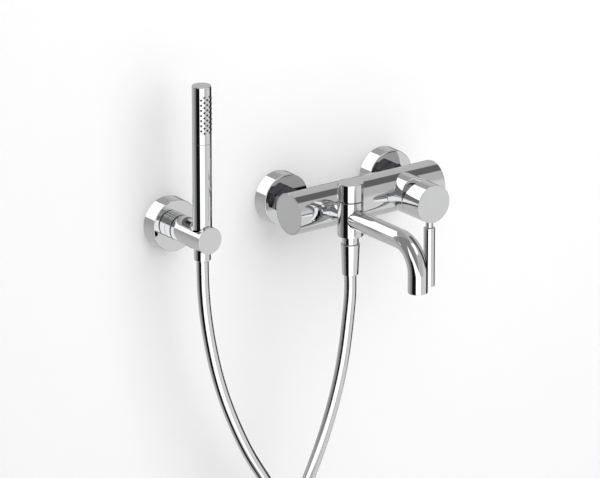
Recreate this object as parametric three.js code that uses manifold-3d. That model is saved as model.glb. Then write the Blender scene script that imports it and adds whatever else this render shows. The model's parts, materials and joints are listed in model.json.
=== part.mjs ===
// Exposed wall-mounted bath and shower mixer with a diverter spout, a stick hand shower on a hose
// and a separate wall holder. Millimetres. The finished wall is the plane y = 0, the room is on the
// -Y side, +X is to the right of someone facing the wall and +Z is up. The origin is on the wall,
// midway between the two inlets. "Out" is the distance from the wall into the room, so y = -out.
import * as THREE from "three";
import { mergeVertices } from "three/addons/utils/BufferGeometryUtils.js";
import loadManifold from "manifold-3d";

const kernel = await loadManifold();
kernel.setup();

// ---------- driving dimensions ----------
const GAP = 0.3; // between pieces that rest on each other
const SIDES = 24; // facets of a large round piece
const SMALL_SIDES = 10; // facets of a small round piece

const INLET_SPACING = 150;
const FLANGE_RADIUS = 30.5;
const FLANGE_DEPTH = 20;
const FLANGE_WALL = 1.5;

const BODY_OUT = 63; // mixer body's axis
const BODY_RADIUS = 24.5;
const BODY_LENGTH = 206;

const HANDLE_X = 52;
const HANDLE_RADIUS = 22.5;
const HANDLE_SEAM_OUT = 101.5; // the lever's pivot plane
const HANDLE_FRONT_OUT = 132.5;
const COLLAR_SLANT = THREE.MathUtils.degToRad(14.3);
const HANDLE_SLANT = THREE.MathUtils.degToRad(19.5);
const LEVER_OUT = 124.2;
const LEVER_RADIUS = 6.6;
const LEVER_TOP = -30;
const LEVER_BOTTOM = -101;

const TURRET_X = -52;
const TURRET_OUT = 112;
const TURRET_RADIUS = 15;
const TURRET_BOTTOM = -21.5;
const TURRET_SEAM = 20.6;
const TURRET_TOP = 42;
const NECK_RADIUS = 11;
const SPOUT_RADIUS = 11.5;
const SPOUT_BORE = 9.3;
const SPOUT_REACH = 127; // from the turret's axis to the outlet's axis
const SPOUT_BEND = 33;
const SPOUT_DROP = 54.5;

const HOSE_RADIUS = 7;
const MIXER_NUT_BOTTOM = -68.4;

const HOLDER_X = -230;
const STICK_OUT = 72;
const STICK_RADIUS = 11;
const STICK_BOTTOM = -7.5;
const STICK_SEAM = 113;
const STICK_TOP = 180;
const SHOWER_NUT_BOTTOM = -25.6;
const ARM_RADIUS = 15.75;
const ARM_END_OUT = 87;
const HOLDER_SEAM_OUT = 30;

// The hose's centre line, from the mixer's outlet down, round its hanging loop and up to the shower.
const HOSE_ROUTE = [
  [-52, -112, -68.7],
  [-52, -112, -90],
  [-54.5, -111.7, -119],
  [-60, -110.9, -162],
  [-68.7, -109.5, -205],
  [-80.8, -107.5, -247],
  [-96.2, -105, -289],
  [-124, -101.5, -350],
  [-154, -98.5, -416],
  [-182, -96, -482],
  [-189.5, -94.5, -518],
  [-180, -93, -555],
  [-152, -92, -583],
  [-114, -91, -593],
  [-76, -90, -583],
  [-48, -89, -555],
  [-38.5, -87.5, -518],
  [-49, -86, -476],
  [-86.5, -83.5, -412],
  [-126, -81.3, -349],
  [-152.5, -80.3, -304],
  [-166.7, -79.1, -280.6],
  [-190.2, -76.8, -232],
  [-207.4, -74.9, -185],
  [-219, -73.5, -139],
  [-226.4, -72.5, -94],
  [-229.6, -72, -52],
  [-230, -72, -25.9],
];
const HOSE_STEPS = 58;
const HOSE_SIDES = 8;

// ---------- materials ----------
function finish(color, roughness, metalness) {
  return new THREE.MeshStandardMaterial({ color, roughness, metalness });
}
const CHROME = finish(0xd9dbde, 0.06, 1);
const DARK_NICKEL = finish(0x3d3e41, 0.25, 1);
const BRASS = finish(0xc9a24a, 0.35, 1);
const STEEL = finish(0x9a9da1, 0.35, 1);
const CERAMIC = finish(0xe9e6df, 0.25, 0);
const GREY_PLASTIC = finish(0x8d9196, 0.5, 0);
const WHITE_PLASTIC = finish(0xe4e5e3, 0.45, 0);
const BLACK_RUBBER = finish(0x1c1d1f, 0.8, 0);
const NOZZLE_RUBBER = finish(0x33363a, 0.65, 0);

// ---------- solids ----------
const MERGE_DISTANCE = 1e-4;

function signedVolume(positions, triangles) {
  const [a, b, c] = [new THREE.Vector3(), new THREE.Vector3(), new THREE.Vector3()];
  let total = 0;
  for (let i = 0; i < triangles.length; i += 3) {
    a.fromBufferAttribute(positions, triangles[i]);
    b.fromBufferAttribute(positions, triangles[i + 1]);
    c.fromBufferAttribute(positions, triangles[i + 2]);
    total += a.dot(b.cross(c));
  }
  return total;
}

// Merges shared vertices, drops triangles that collapse on an axis and turns all faces outwards.
function solidFrom(geometry) {
  geometry.deleteAttribute("normal");
  geometry.deleteAttribute("uv");
  const merged = mergeVertices(geometry, MERGE_DISTANCE);
  const corners = merged.index.array;
  const triangles = [];
  for (let i = 0; i < corners.length; i += 3) {
    const [a, b, c] = corners.slice(i, i + 3);
    if (a !== b && b !== c && c !== a) triangles.push(a, b, c);
  }
  if (signedVolume(merged.attributes.position, triangles) < 0) triangles.reverse();
  return new kernel.Manifold(new kernel.Mesh({
    numProp: 3,
    vertProperties: merged.attributes.position.array,
    triVerts: Uint32Array.from(triangles),
  }));
}

function geometryFrom(solid) {
  const mesh = solid.getMesh();
  const geometry = new THREE.BufferGeometry();
  geometry.setAttribute("position", new THREE.BufferAttribute(mesh.vertProperties, mesh.numProp));
  geometry.setIndex(new THREE.BufferAttribute(mesh.triVerts, 1));
  geometry.computeVertexNormals();
  return geometry;
}

const TO_AXIS = {
  x: (geometry) => geometry.rotateZ(-Math.PI / 2),
  out: (geometry) => geometry.rotateX(Math.PI),
  z: (geometry) => geometry.rotateX(Math.PI / 2),
};

// A piece turned on a lathe. The profile lists [radius, distance along the axis]; one that doesn't
// touch the axis closes on itself. spin turns the piece about Z before it is moved to "at".
function turned(axis, profile, { at = [0, 0, 0], sides = SIDES, spin = 0 } = {}) {
  const outline = profile[0][0] > 0 ? [...profile, profile[0]] : profile;
  const points = outline.map(([radius, along]) => new THREE.Vector2(radius, along));
  const geometry = new THREE.LatheGeometry(points, sides);
  TO_AXIS[axis](geometry);
  geometry.rotateZ(spin);
  geometry.translate(...at);
  return solidFrom(geometry);
}

function rod(axis, radius, from, to, options) {
  return turned(axis, [[0, from], [radius, from], [radius, to], [0, to]], options);
}

function ring(axis, outer, inner, from, to, options) {
  return turned(axis, [[inner, from], [outer, from], [outer, to], [inner, to]], options);
}

function block(low, high) {
  const size = high.map((value, i) => value - low[i]);
  const centre = high.map((value, i) => (value + low[i]) / 2);
  return solidFrom(new THREE.BoxGeometry(...size).translate(...centre));
}

function cut(solid, ...tools) {
  return tools.reduce((rest, tool) => rest.subtract(tool), solid);
}

function join(...solids) {
  return solids.reduce((whole, part) => whole.add(part));
}

function piece(group, name, solid, material) {
  const mesh = new THREE.Mesh(geometryFrom(solid), material);
  mesh.name = name;
  group.add(mesh);
}

// ---------- wall flange, the same on both inlets and on the holder ----------
function wallFlange(holeRadius) {
  const faceBack = FLANGE_DEPTH - FLANGE_WALL;
  return turned("out", [
    [FLANGE_RADIUS, 0],
    [FLANGE_RADIUS, FLANGE_DEPTH],
    [holeRadius, FLANGE_DEPTH],
    [holeRadius, faceBack],
    [FLANGE_RADIUS - FLANGE_WALL, faceBack],
    [FLANGE_RADIUS - FLANGE_WALL, 0],
  ]);
}

// ---------- one inlet: eccentric union, flange, nut and filter washer ----------
const UNION_OFFSET = 8; // the wall thread sits this far below the mixer's inlet
const WALL_THREAD_RADIUS = 10.4;
const WALL_THREAD_LENGTH = 18;
const UNION_THREAD_RADIUS = 13;
const UNION_END_OUT = 27;
const NUT_FRONT_OUT = 34.5;
const STUB_COLLAR = [29, 30.9]; // out positions of the mixer stub's collar
const STUB_COLLAR_RADIUS = 12.8;
const STUB_RADIUS = 10.2;

function eccentricUnion() {
  const low = [0, 0, -UNION_OFFSET];
  const middle = [0, 0, -UNION_OFFSET / 2];
  const shoulder = { radius: 19, from: 2, to: 9 };
  const wallBore = 6.5;
  const roomBore = 8;
  const overlap = 1;
  const midShoulder = (shoulder.from + shoulder.to) / 2;
  return cut(
    join(
      rod("out", shoulder.radius, shoulder.from, shoulder.to, { at: middle }),
      rod("out", WALL_THREAD_RADIUS, -WALL_THREAD_LENGTH, midShoulder, { at: low }),
      rod("out", UNION_THREAD_RADIUS, midShoulder, UNION_END_OUT),
    ),
    rod("out", wallBore, -WALL_THREAD_LENGTH - overlap, midShoulder + overlap, { at: low }),
    rod("out", roomBore, midShoulder - overlap, UNION_END_OUT + overlap),
  );
}

function unionNut() {
  const cornerRadius = 17.9;
  const chamfer = 1.6;
  const back = FLANGE_DEPTH + GAP;
  const threadBore = UNION_THREAD_RADIUS + 2 * GAP;
  const lipBore = STUB_RADIUS + GAP;
  const lipBack = STUB_COLLAR[1] + GAP;
  const hexagon = rod("out", cornerRadius, back, NUT_FRONT_OUT, { sides: 6 });
  const rounding = turned("out", [
    [0, back],
    [cornerRadius - chamfer, back],
    [cornerRadius, back + chamfer],
    [cornerRadius, NUT_FRONT_OUT - chamfer],
    [cornerRadius - chamfer, NUT_FRONT_OUT],
    [0, NUT_FRONT_OUT],
  ]);
  return cut(
    hexagon.intersect(rounding),
    rod("out", threadBore, back - 1, lipBack),
    rod("out", lipBore, lipBack - 1, NUT_FRONT_OUT + 1),
  );
}

function supply(side, x) {
  const group = new THREE.Group();
  group.position.x = x;
  const washer = [UNION_END_OUT + GAP, STUB_COLLAR[0] - GAP];
  piece(group, `${side}_eccentric_union`, eccentricUnion(), CHROME);
  piece(group, `${side}_wall_flange`, wallFlange(UNION_THREAD_RADIUS + 2 * GAP), CHROME);
  piece(group, `${side}_union_nut`, unionNut(), DARK_NICKEL);
  piece(group, `${side}_filter_washer`, ring("out", 12.6, 6.5, ...washer), BLACK_RUBBER);
  return group;
}

// ---------- mixer body ----------
const CHAMBER_RADIUS = 17.8;
const CHAMBER_FLOOR_OUT = 67;
const NUT_THREAD_RADIUS = 20.8;
const NUT_SEAT_OUT = 88.4;
const HOT_COLD_PORT_HEIGHT = 9; // height of the hot and cold ways above the body's axis
const MIXED_PORT_HEIGHT = -8;
const PORT_OFFSET = 6; // of the hot and cold ports to each side of the cartridge's axis
const CAP_RADIUS = 23;
const CAP_DEPTH = 4;
const CAP_SPIGOT_RADIUS = 20;
const CAP_SPIGOT_DEPTH = 11;
const SOCKET_FLOOR_OUT = 80; // of the neck's socket in the body

// Everything in front of the collar's face, or behind the handle's face: upright below the pivot
// and slanted above it, so that a wedge stays open between them.
function facePlanes(out, slant, towardsRoom) {
  const reach = 40;
  const far = towardsRoom ? out + reach : out - reach;
  const lean = reach * Math.tan(slant) * (towardsRoom ? -1 : 1);
  const outline = new THREE.Shape([
    new THREE.Vector2(out, -reach),
    new THREE.Vector2(out, 0),
    new THREE.Vector2(out + lean, reach),
    new THREE.Vector2(far, reach),
    new THREE.Vector2(far, -reach),
  ]);
  const geometry = new THREE.ExtrudeGeometry(outline, { depth: 2 * reach, bevelEnabled: false });
  geometry.translate(0, 0, -reach);
  const outwards = new THREE.Vector3(0, -1, 0);
  const upwards = new THREE.Vector3(0, 0, 1);
  const across = new THREE.Vector3(-1, 0, 0);
  geometry.applyMatrix4(new THREE.Matrix4().makeBasis(outwards, upwards, across));
  return geometry;
}

const COLLAR_FACE_OUT = HANDLE_SEAM_OUT - GAP;

function collarCutter(x) {
  return solidFrom(facePlanes(COLLAR_FACE_OUT, COLLAR_SLANT, true).translate(x, 0, 0));
}

function inletStub(x) {
  const back = STUB_COLLAR[0];
  const bodyWall = BODY_OUT - BODY_RADIUS + 8;
  return join(
    rod("out", STUB_RADIUS, back, bodyWall, { at: [x, 0, 0] }),
    rod("out", STUB_COLLAR_RADIUS, ...STUB_COLLAR, { at: [x, 0, 0] }),
  );
}

function capRecess(side) {
  const end = side * BODY_LENGTH / 2;
  const at = [0, -BODY_OUT, 0];
  return join(
    rod("x", CAP_RADIUS, end - side * CAP_DEPTH, end + side, { at }),
    rod("x", CAP_SPIGOT_RADIUS, end - side * CAP_SPIGOT_DEPTH, end, { at }),
  );
}

function waterWays() {
  const small = { sides: SMALL_SIDES };
  const inlet = INLET_SPACING / 2;
  const gallery = 5;
  const galleryOut = 52;
  const mixedOut = 60;
  const portRadius = 4;
  const supplyWay = (side) => join(
    rod("out", 7, STUB_COLLAR[0] - 1, galleryOut, { at: [side * inlet, 0, 0], ...small }),
    rod("x", gallery, Math.min(side * (inlet + 6), HANDLE_X + side * 3),
      Math.max(side * (inlet + 6), HANDLE_X + side * 3),
      { at: [0, -galleryOut, HOT_COLD_PORT_HEIGHT], ...small }),
    rod("out", portRadius, galleryOut, CHAMBER_FLOOR_OUT + 1,
      { at: [HANDLE_X + side * PORT_OFFSET, 0, HOT_COLD_PORT_HEIGHT], ...small }),
  );
  const mixedWay = join(
    rod("x", gallery, TURRET_X - gallery, HANDLE_X + 2, { at: [0, -mixedOut, MIXED_PORT_HEIGHT], ...small }),
    rod("out", portRadius, mixedOut, CHAMBER_FLOOR_OUT + 1, { at: [HANDLE_X, 0, MIXED_PORT_HEIGHT], ...small }),
    rod("out", 7, mixedOut, SOCKET_FLOOR_OUT + 1, { at: [TURRET_X, 0, 0], ...small }),
  );
  return [supplyWay(-1), supplyWay(1), mixedWay];
}

function mixerBody() {
  const onAxis = { at: [0, -BODY_OUT, 0] };
  const onHandle = { at: [HANDLE_X, 0, 0] };
  const half = BODY_LENGTH / 2;
  const shell = join(
    rod("x", BODY_RADIUS, -half, half, onAxis),
    rod("out", HANDLE_RADIUS, BODY_OUT, HANDLE_SEAM_OUT + 1, onHandle),
    inletStub(-INLET_SPACING / 2),
    inletStub(INLET_SPACING / 2),
  );
  return cut(
    shell,
    collarCutter(HANDLE_X),
    capRecess(-1),
    capRecess(1),
    rod("out", CHAMBER_RADIUS, CHAMBER_FLOOR_OUT, HANDLE_SEAM_OUT, onHandle),
    rod("out", NUT_THREAD_RADIUS, NUT_SEAT_OUT, HANDLE_SEAM_OUT + 1, onHandle),
    rod("out", NECK_RADIUS + GAP, SOCKET_FLOOR_OUT, BODY_OUT + BODY_RADIUS + 1, { at: [TURRET_X, 0, 0] }),
    ...waterWays(),
  );
}

function endCap(side) {
  const end = side * BODY_LENGTH / 2;
  const at = [0, -BODY_OUT, 0];
  const shoulder = end - side * (CAP_DEPTH - GAP);
  return join(
    rod("x", CAP_RADIUS - GAP, shoulder, end, { at }),
    rod("x", CAP_SPIGOT_RADIUS - GAP, end - side * (CAP_SPIGOT_DEPTH - GAP), shoulder + side, { at }),
  );
}

// ---------- mixing cartridge ----------
const CARRIER_RADIUS = 11.8;
const LEVER_BAR = 4; // half the square bar's width
const DISC_PORTS = [[-PORT_OFFSET, HOT_COLD_PORT_HEIGHT], [PORT_OFFSET, HOT_COLD_PORT_HEIGHT], [0, MIXED_PORT_HEIGHT]];

function discPorts(radius, from, to) {
  return DISC_PORTS.map(([x, z]) => rod("out", radius, from, to, { at: [x, 0, z], sides: SMALL_SIDES }));
}

function cartridge() {
  const group = new THREE.Group();
  group.position.x = HANDLE_X;
  const base = CHAMBER_FLOOR_OUT + GAP;
  const floor = base + 3;
  const portRadius = 3.2;
  const discDepth = 3;
  const fixedDisc = floor + GAP;
  const movingDisc = fixedDisc + discDepth + GAP;
  const carrierBack = movingDisc + discDepth + GAP;
  const carrierFront = 92;
  const rim = NUT_SEAT_OUT;
  const innerRadius = CARRIER_RADIUS + 0.4;
  const discRadius = CARRIER_RADIUS - 0.1;
  const nutFront = 93.5;
  const coverBack = nutFront + GAP;
  const leverBack = 87.5;
  const slotBack = leverBack - 2;

  const housing = turned("out", [
    [0, base],
    [CHAMBER_RADIUS - GAP, base],
    [CHAMBER_RADIUS - GAP, rim],
    [innerRadius, rim],
    [innerRadius, floor],
    [0, floor],
  ]);
  piece(group, "cartridge_housing", cut(housing, ...discPorts(portRadius, base - 1, floor + 1)), GREY_PLASTIC);

  const fixed = rod("out", discRadius, fixedDisc, fixedDisc + discDepth);
  const fixedPorts = discPorts(2.4, fixedDisc - 1, fixedDisc + discDepth + 1);
  piece(group, "ceramic_fixed_disc", cut(fixed, ...fixedPorts), CERAMIC);

  const moving = rod("out", discRadius - 1, movingDisc, movingDisc + discDepth);
  const channel = rod("out", 6, movingDisc - 1, movingDisc + 1.5, { sides: SMALL_SIDES });
  piece(group, "ceramic_moving_disc", cut(moving, channel), CERAMIC);

  const carrier = rod("out", CARRIER_RADIUS, carrierBack, carrierFront);
  const slotHalf = LEVER_BAR + GAP;
  const slot = block([-slotHalf, -carrierFront - 1, -CARRIER_RADIUS - 1], [slotHalf, -slotBack, LEVER_BAR + 2]);
  piece(group, "cartridge_carrier", cut(carrier, slot), GREY_PLASTIC);

  piece(group, "cartridge_nut", ring("out", NUT_THREAD_RADIUS - 0.4, innerRadius + GAP, rim + GAP, nutFront), BRASS);

  const cover = ring("out", NUT_THREAD_RADIUS - GAP, 9.3, coverBack, HANDLE_SEAM_OUT);
  piece(group, "cartridge_cover", cut(cover, collarCutter(0)), CHROME);

  const lever = block([-LEVER_BAR, -117.5, -LEVER_BAR], [LEVER_BAR, -leverBack, LEVER_BAR]);
  piece(group, "cartridge_lever", lever, STEEL);
  return group;
}

// ---------- handle ----------
function handle() {
  const group = new THREE.Group();
  group.position.x = HANDLE_X;
  const rearOut = HANDLE_SEAM_OUT + GAP;
  const cavityFloor = 112;
  const barHalf = LEVER_BAR + GAP;
  const barEnd = 118.2;
  const pinRadius = 4.4;
  const pinTop = -13.4;
  const pinBottom = -41.5;
  const atLever = [0, -LEVER_OUT, 0];
  const small = { sides: SMALL_SIDES };
  const screwAt = [0, -115, 0];
  const screwRadius = 2.3;

  const drum = rod("out", HANDLE_RADIUS, rearOut, HANDLE_FRONT_OUT);
  const rearFace = solidFrom(facePlanes(rearOut, HANDLE_SLANT, false));
  piece(group, "handle_drum", cut(
    drum,
    rearFace,
    rod("out", HANDLE_RADIUS - 4, rearOut - 1, cavityFloor),
    block([-barHalf, -barEnd, -barHalf], [barHalf, -cavityFloor + 1, barHalf]),
    rod("z", pinRadius + GAP, -HANDLE_RADIUS - 1, pinTop + GAP, { at: atLever, ...small }),
    rod("z", screwRadius + GAP, -HANDLE_RADIUS - 1, -LEVER_BAR, { at: screwAt, ...small }),
  ), CHROME);

  piece(group, "lever_pin", rod("z", pinRadius, pinBottom, pinTop, { at: atLever, ...small }), CHROME);

  const sleeve = rod("z", LEVER_RADIUS, LEVER_BOTTOM, LEVER_TOP, { at: atLever });
  const pinHole = rod("z", pinRadius + GAP, pinBottom - GAP, LEVER_TOP + 1, { at: atLever, ...small });
  piece(group, "lever_rod", cut(sleeve, pinHole), CHROME);

  const screwTop = -LEVER_BAR - GAP;
  const screw = rod("z", screwRadius, screwTop - 10, screwTop, { at: screwAt, ...small });
  const key = rod("z", 1.3, screwTop - 11, screwTop - 7, { at: screwAt, sides: 6 });
  piece(group, "handle_grub_screw", cut(screw, key), STEEL);
  return group;
}

// ---------- turret: diverter body, its valve and knob ----------
const VALVE_BORE = 9;
const NIPPLE_SOCKET_RADIUS = 7.8;
const NIPPLE_SOCKET_TOP = -12;

function diverterBody() {
  const neckSocket = rod("out", NECK_RADIUS + GAP, -TURRET_RADIUS - 1, -VALVE_BORE);
  const spoutSocket = rod("out", SPOUT_RADIUS + GAP, VALVE_BORE, TURRET_RADIUS + 1);
  return cut(
    rod("z", TURRET_RADIUS, TURRET_BOTTOM, TURRET_SEAM - GAP),
    rod("z", VALVE_BORE, -9, TURRET_SEAM),
    rod("z", 5, NIPPLE_SOCKET_TOP - 1, -8, { sides: SMALL_SIDES }),
    rod("z", NIPPLE_SOCKET_RADIUS, TURRET_BOTTOM - 1, NIPPLE_SOCKET_TOP),
    neckSocket,
    spoutSocket,
  );
}

function diverterValve(group) {
  const sleeveRadius = VALVE_BORE - GAP;
  const spindleRadius = 4.9;
  const sleeveBottom = -8.7;
  const sleeveTop = 18;
  const window = 4.2;
  const cross = { sides: SMALL_SIDES };
  const sleeve = ring("z", sleeveRadius, spindleRadius + GAP, sleeveBottom, sleeveTop);
  const sideWindows = rod("out", window, -VALVE_BORE - 1, VALVE_BORE + 1, cross);
  piece(group, "diverter_sleeve", cut(sleeve, sideWindows), BRASS);

  const spindle = rod("z", spindleRadius, sleeveBottom + 1, 35, { sides: SMALL_SIDES });
  const crossWay = rod("out", 2.8, -6, 6, cross);
  const downWay = rod("z", 2.8, -9, 0, cross);
  piece(group, "diverter_spindle", cut(spindle, crossWay, downWay), STEEL);

  const knobBottom = TURRET_SEAM + GAP;
  const hollowTop = 30;
  const spindleTop = 35.3;
  const screwHeight = 33;
  const screwRadius = 1.9;
  const knob = turned("z", [
    [0, TURRET_TOP],
    [TURRET_RADIUS, TURRET_TOP],
    [TURRET_RADIUS, knobBottom],
    [12, knobBottom],
    [12, hollowTop],
    [spindleRadius + GAP, hollowTop],
    [spindleRadius + GAP, spindleTop],
    [0, spindleTop],
  ]);
  const onScrew = { at: [0, 0, screwHeight], sides: SMALL_SIDES };
  const screwHole = rod("out", screwRadius + GAP, -TURRET_RADIUS - 1, -spindleRadius, onScrew);
  piece(group, "diverter_knob", cut(knob, screwHole), CHROME);

  const screwIn = -spindleRadius - GAP;
  const screw = rod("out", screwRadius, screwIn - 8, screwIn, onScrew);
  const key = rod("out", 1.1, screwIn - 9, screwIn - 5, { at: [0, 0, screwHeight], sides: 6 });
  piece(group, "knob_grub_screw", cut(screw, key), STEEL);
}

// The spout's centre line from its socket: straight out, a quarter bend, then straight down.
class SpoutLine extends THREE.Curve {
  constructor(start) {
    super();
    this.start = start;
    this.level = SPOUT_REACH - SPOUT_BEND - start;
    this.bend = SPOUT_BEND * Math.PI / 2;
    this.drop = SPOUT_DROP - SPOUT_BEND;
  }

  getPoint(t, target = new THREE.Vector3()) {
    const along = t * (this.level + this.bend + this.drop);
    if (along < this.level) return target.set(0, -this.start - along, 0);
    const turn = Math.min((along - this.level) / SPOUT_BEND, Math.PI / 2);
    const out = SPOUT_REACH - SPOUT_BEND + SPOUT_BEND * Math.sin(turn);
    const fall = SPOUT_BEND * (1 - Math.cos(turn));
    const below = Math.max(along - this.level - this.bend, 0);
    return target.set(0, -out, -fall - below);
  }
}

function spout(group) {
  const sides = 18;
  const steps = 14;
  const seatRadius = 10.2;
  const seatDepth = 12;
  const wall = new THREE.Shape();
  wall.absarc(0, 0, SPOUT_RADIUS, 0, 2 * Math.PI);
  const bore = new THREE.Path();
  bore.absarc(0, 0, SPOUT_BORE, 0, 2 * Math.PI);
  wall.holes.push(bore);
  const tube = new THREE.ExtrudeGeometry(wall, {
    steps,
    curveSegments: sides / 2,
    extrudePath: new SpoutLine(VALVE_BORE + GAP),
  });
  const atOutlet = { at: [0, -SPOUT_REACH, 0] };
  const seatTop = seatDepth - SPOUT_DROP;
  const seat = rod("z", seatRadius, -SPOUT_DROP - 1, seatTop, atOutlet);
  piece(group, "spout", cut(solidFrom(tube), seat), CHROME);

  const lip = 1;
  const housing = ring("z", seatRadius - GAP, 8.4, lip - SPOUT_DROP, seatTop - GAP, atOutlet);
  piece(group, "aerator_housing", housing, CHROME);

  const insertLow = lip + 0.6 - SPOUT_DROP;
  const insertHigh = insertLow + 5;
  const holes = [0, 1, 2, 3, 4, 5].map((i) => {
    const angle = i * Math.PI / 3;
    const at = [4.6 * Math.cos(angle), 4.6 * Math.sin(angle) - SPOUT_REACH, 0];
    return rod("z", 1.5, insertLow - 1, insertHigh + 1, { at, sides: 8 });
  });
  const middleHole = rod("z", 1.5, insertLow - 1, insertHigh + 1, { ...atOutlet, sides: 8 });
  const insert = rod("z", 8.1, insertLow, insertHigh, atOutlet);
  piece(group, "aerator_insert", cut(insert, middleHole, ...holes), WHITE_PLASTIC);
}

// ---------- hose outlet under the turret, with its check valve ----------
const NIPPLE_THREAD = 8.6;
const NIPPLE_BOTTOM = -43;
const VALVE_SEAT = -24;
const VALVE_CHAMBER = 5.5;
const MIXER_NUT_TOP = -31.5;
const INSERT_STEM = 5.6;

function outletNipple() {
  const collarTop = TURRET_BOTTOM - GAP;
  const collarBottom = MIXER_NUT_TOP + GAP;
  return cut(
    turned("z", [
      [0, NIPPLE_SOCKET_TOP - GAP],
      [NIPPLE_SOCKET_RADIUS - GAP, NIPPLE_SOCKET_TOP - GAP],
      [NIPPLE_SOCKET_RADIUS - GAP, collarTop],
      [9.5, collarTop],
      [9.5, collarBottom],
      [NIPPLE_THREAD, collarBottom],
      [NIPPLE_THREAD, NIPPLE_BOTTOM],
      [0, NIPPLE_BOTTOM],
    ]),
    rod("z", 3.2, VALVE_SEAT - 1, NIPPLE_SOCKET_TOP, { sides: SMALL_SIDES }),
    rod("z", VALVE_CHAMBER, NIPPLE_BOTTOM - 1, VALVE_SEAT, { sides: SMALL_SIDES }),
  );
}

// A helical compression spring between the valve's poppet and its guide.
class SpringLine extends THREE.Curve {
  constructor(radius, low, high, turns) {
    super();
    Object.assign(this, { radius, low, high, turns });
  }

  getPoint(t, target = new THREE.Vector3()) {
    const angle = 2 * Math.PI * this.turns * t;
    const height = THREE.MathUtils.lerp(this.low, this.high, t);
    return target.set(this.radius * Math.cos(angle), this.radius * Math.sin(angle), height);
  }
}

function checkValve(group) {
  const small = { sides: SMALL_SIDES };
  const stemRadius = 1.2;
  const guideTop = -37.4;
  const guideBottom = -39.4;
  const headTop = VALVE_SEAT - GAP;
  const headBottom = headTop - 2;
  const head = rod("z", 4.9, headBottom, headTop, small);
  const stem = rod("z", stemRadius, guideTop - 1.6, headBottom + 1, small);
  piece(group, "check_valve_poppet", join(head, stem), GREY_PLASTIC);

  const guide = ring("z", VALVE_CHAMBER - GAP, stemRadius + 0.2, guideBottom, guideTop, small);
  const passages = [0, 1, 2, 3].map((i) => {
    const angle = i * Math.PI / 2;
    const at = [3.3 * Math.cos(angle), 3.3 * Math.sin(angle), 0];
    return rod("z", 1, guideBottom - 1, guideTop + 1, { at, sides: 8 });
  });
  piece(group, "check_valve_guide", cut(guide, ...passages), WHITE_PLASTIC);

  const wire = 0.25;
  const turns = 4;
  const section = new THREE.Shape();
  section.absarc(0, 0, wire, 0, 2 * Math.PI);
  const coil = new THREE.ExtrudeGeometry(section, {
    steps: turns * 9,
    curveSegments: 3,
    extrudePath: new SpringLine(2.6, guideTop + wire + GAP, headBottom - wire - GAP, turns),
  });
  piece(group, "check_valve_spring", solidFrom(coil), STEEL);
}

// A hose end: a flanged insert with a hollow stem that passes through the nut's end wall.
function hoseInsert(flangeRadius, top, bottom, stemBottom) {
  return cut(
    join(
      rod("z", flangeRadius, bottom, top),
      rod("z", INSERT_STEM, stemBottom, top - 0.5, { sides: SMALL_SIDES }),
    ),
    rod("z", 3.4, stemBottom - 1, top + 1, { sides: SMALL_SIDES }),
  );
}

function mixerHoseEnd(group) {
  const threadBore = NIPPLE_THREAD + GAP;
  const shoulder = -52;
  const nut = turned("z", [
    [threadBore, MIXER_NUT_TOP],
    [10.85, MIXER_NUT_TOP],
    [9.25, MIXER_NUT_BOTTOM],
    [INSERT_STEM + GAP, MIXER_NUT_BOTTOM],
    [INSERT_STEM + GAP, shoulder],
    [threadBore, shoulder],
  ]);
  piece(group, "mixer_hose_nut", nut, CHROME);
  const washerTop = NIPPLE_BOTTOM - GAP;
  const washerBottom = washerTop - 1.8;
  piece(group, "mixer_hose_washer", ring("z", NIPPLE_THREAD - 0.2, 4.5, washerBottom, washerTop), BLACK_RUBBER);
  const insert = hoseInsert(NIPPLE_THREAD, washerBottom - GAP, shoulder + GAP, MIXER_NUT_BOTTOM);
  piece(group, "mixer_hose_insert", insert, BRASS);
}

function turret() {
  const group = new THREE.Group();
  group.position.set(TURRET_X, -TURRET_OUT, 0);
  const neckBack = SOCKET_FLOOR_OUT + GAP - TURRET_OUT;
  const neckFront = -VALVE_BORE - GAP;
  piece(group, "neck_tube", ring("out", NECK_RADIUS, 7, neckBack, neckFront), CHROME);
  piece(group, "diverter_body", diverterBody(), CHROME);
  diverterValve(group);
  spout(group);
  piece(group, "outlet_nipple", outletNipple(), CHROME);
  checkValve(group);
  mixerHoseEnd(group);
  return group;
}

// ---------- hose ----------
function hose() {
  const line = new THREE.CatmullRomCurve3(HOSE_ROUTE.map((point) => new THREE.Vector3(...point)));
  const section = new THREE.Shape();
  section.absarc(0, 0, HOSE_RADIUS, 0, 2 * Math.PI);
  const tube = new THREE.ExtrudeGeometry(section, {
    steps: HOSE_STEPS,
    curveSegments: HOSE_SIDES / 2,
    extrudePath: line,
  });
  const group = new THREE.Group();
  piece(group, "hose", solidFrom(tube), CHROME);
  return group;
}

// ---------- hand shower ----------
const STICK_BORE = 9.7;
const NOZZLE_ROWS = 8;
const NOZZLE_PITCH = 6;
const NOZZLE_MIDDLE = STICK_TOP - 32.4;
const NOZZLE_COLUMN_ANGLE = THREE.MathUtils.degToRad(19);
const NOZZLE_RADIUS = 1.1;
const NOZZLE_REACH = STICK_RADIUS + 0.9;

// Five columns of nozzles face the room. Every second column has one more row and is staggered.
function nozzleRods(radius, from, to) {
  const rods = [];
  for (let column = -2; column <= 2; column += 1) {
    const rows = column % 2 === 0 ? NOZZLE_ROWS - 1 : NOZZLE_ROWS;
    for (let row = 0; row < rows; row += 1) {
      const height = NOZZLE_MIDDLE + (row - (rows - 1) / 2) * NOZZLE_PITCH;
      const options = { at: [0, 0, height], sides: 6, spin: column * NOZZLE_COLUMN_ANGLE };
      rods.push(rod("out", radius, from, to, options));
    }
  }
  return rods;
}

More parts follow.
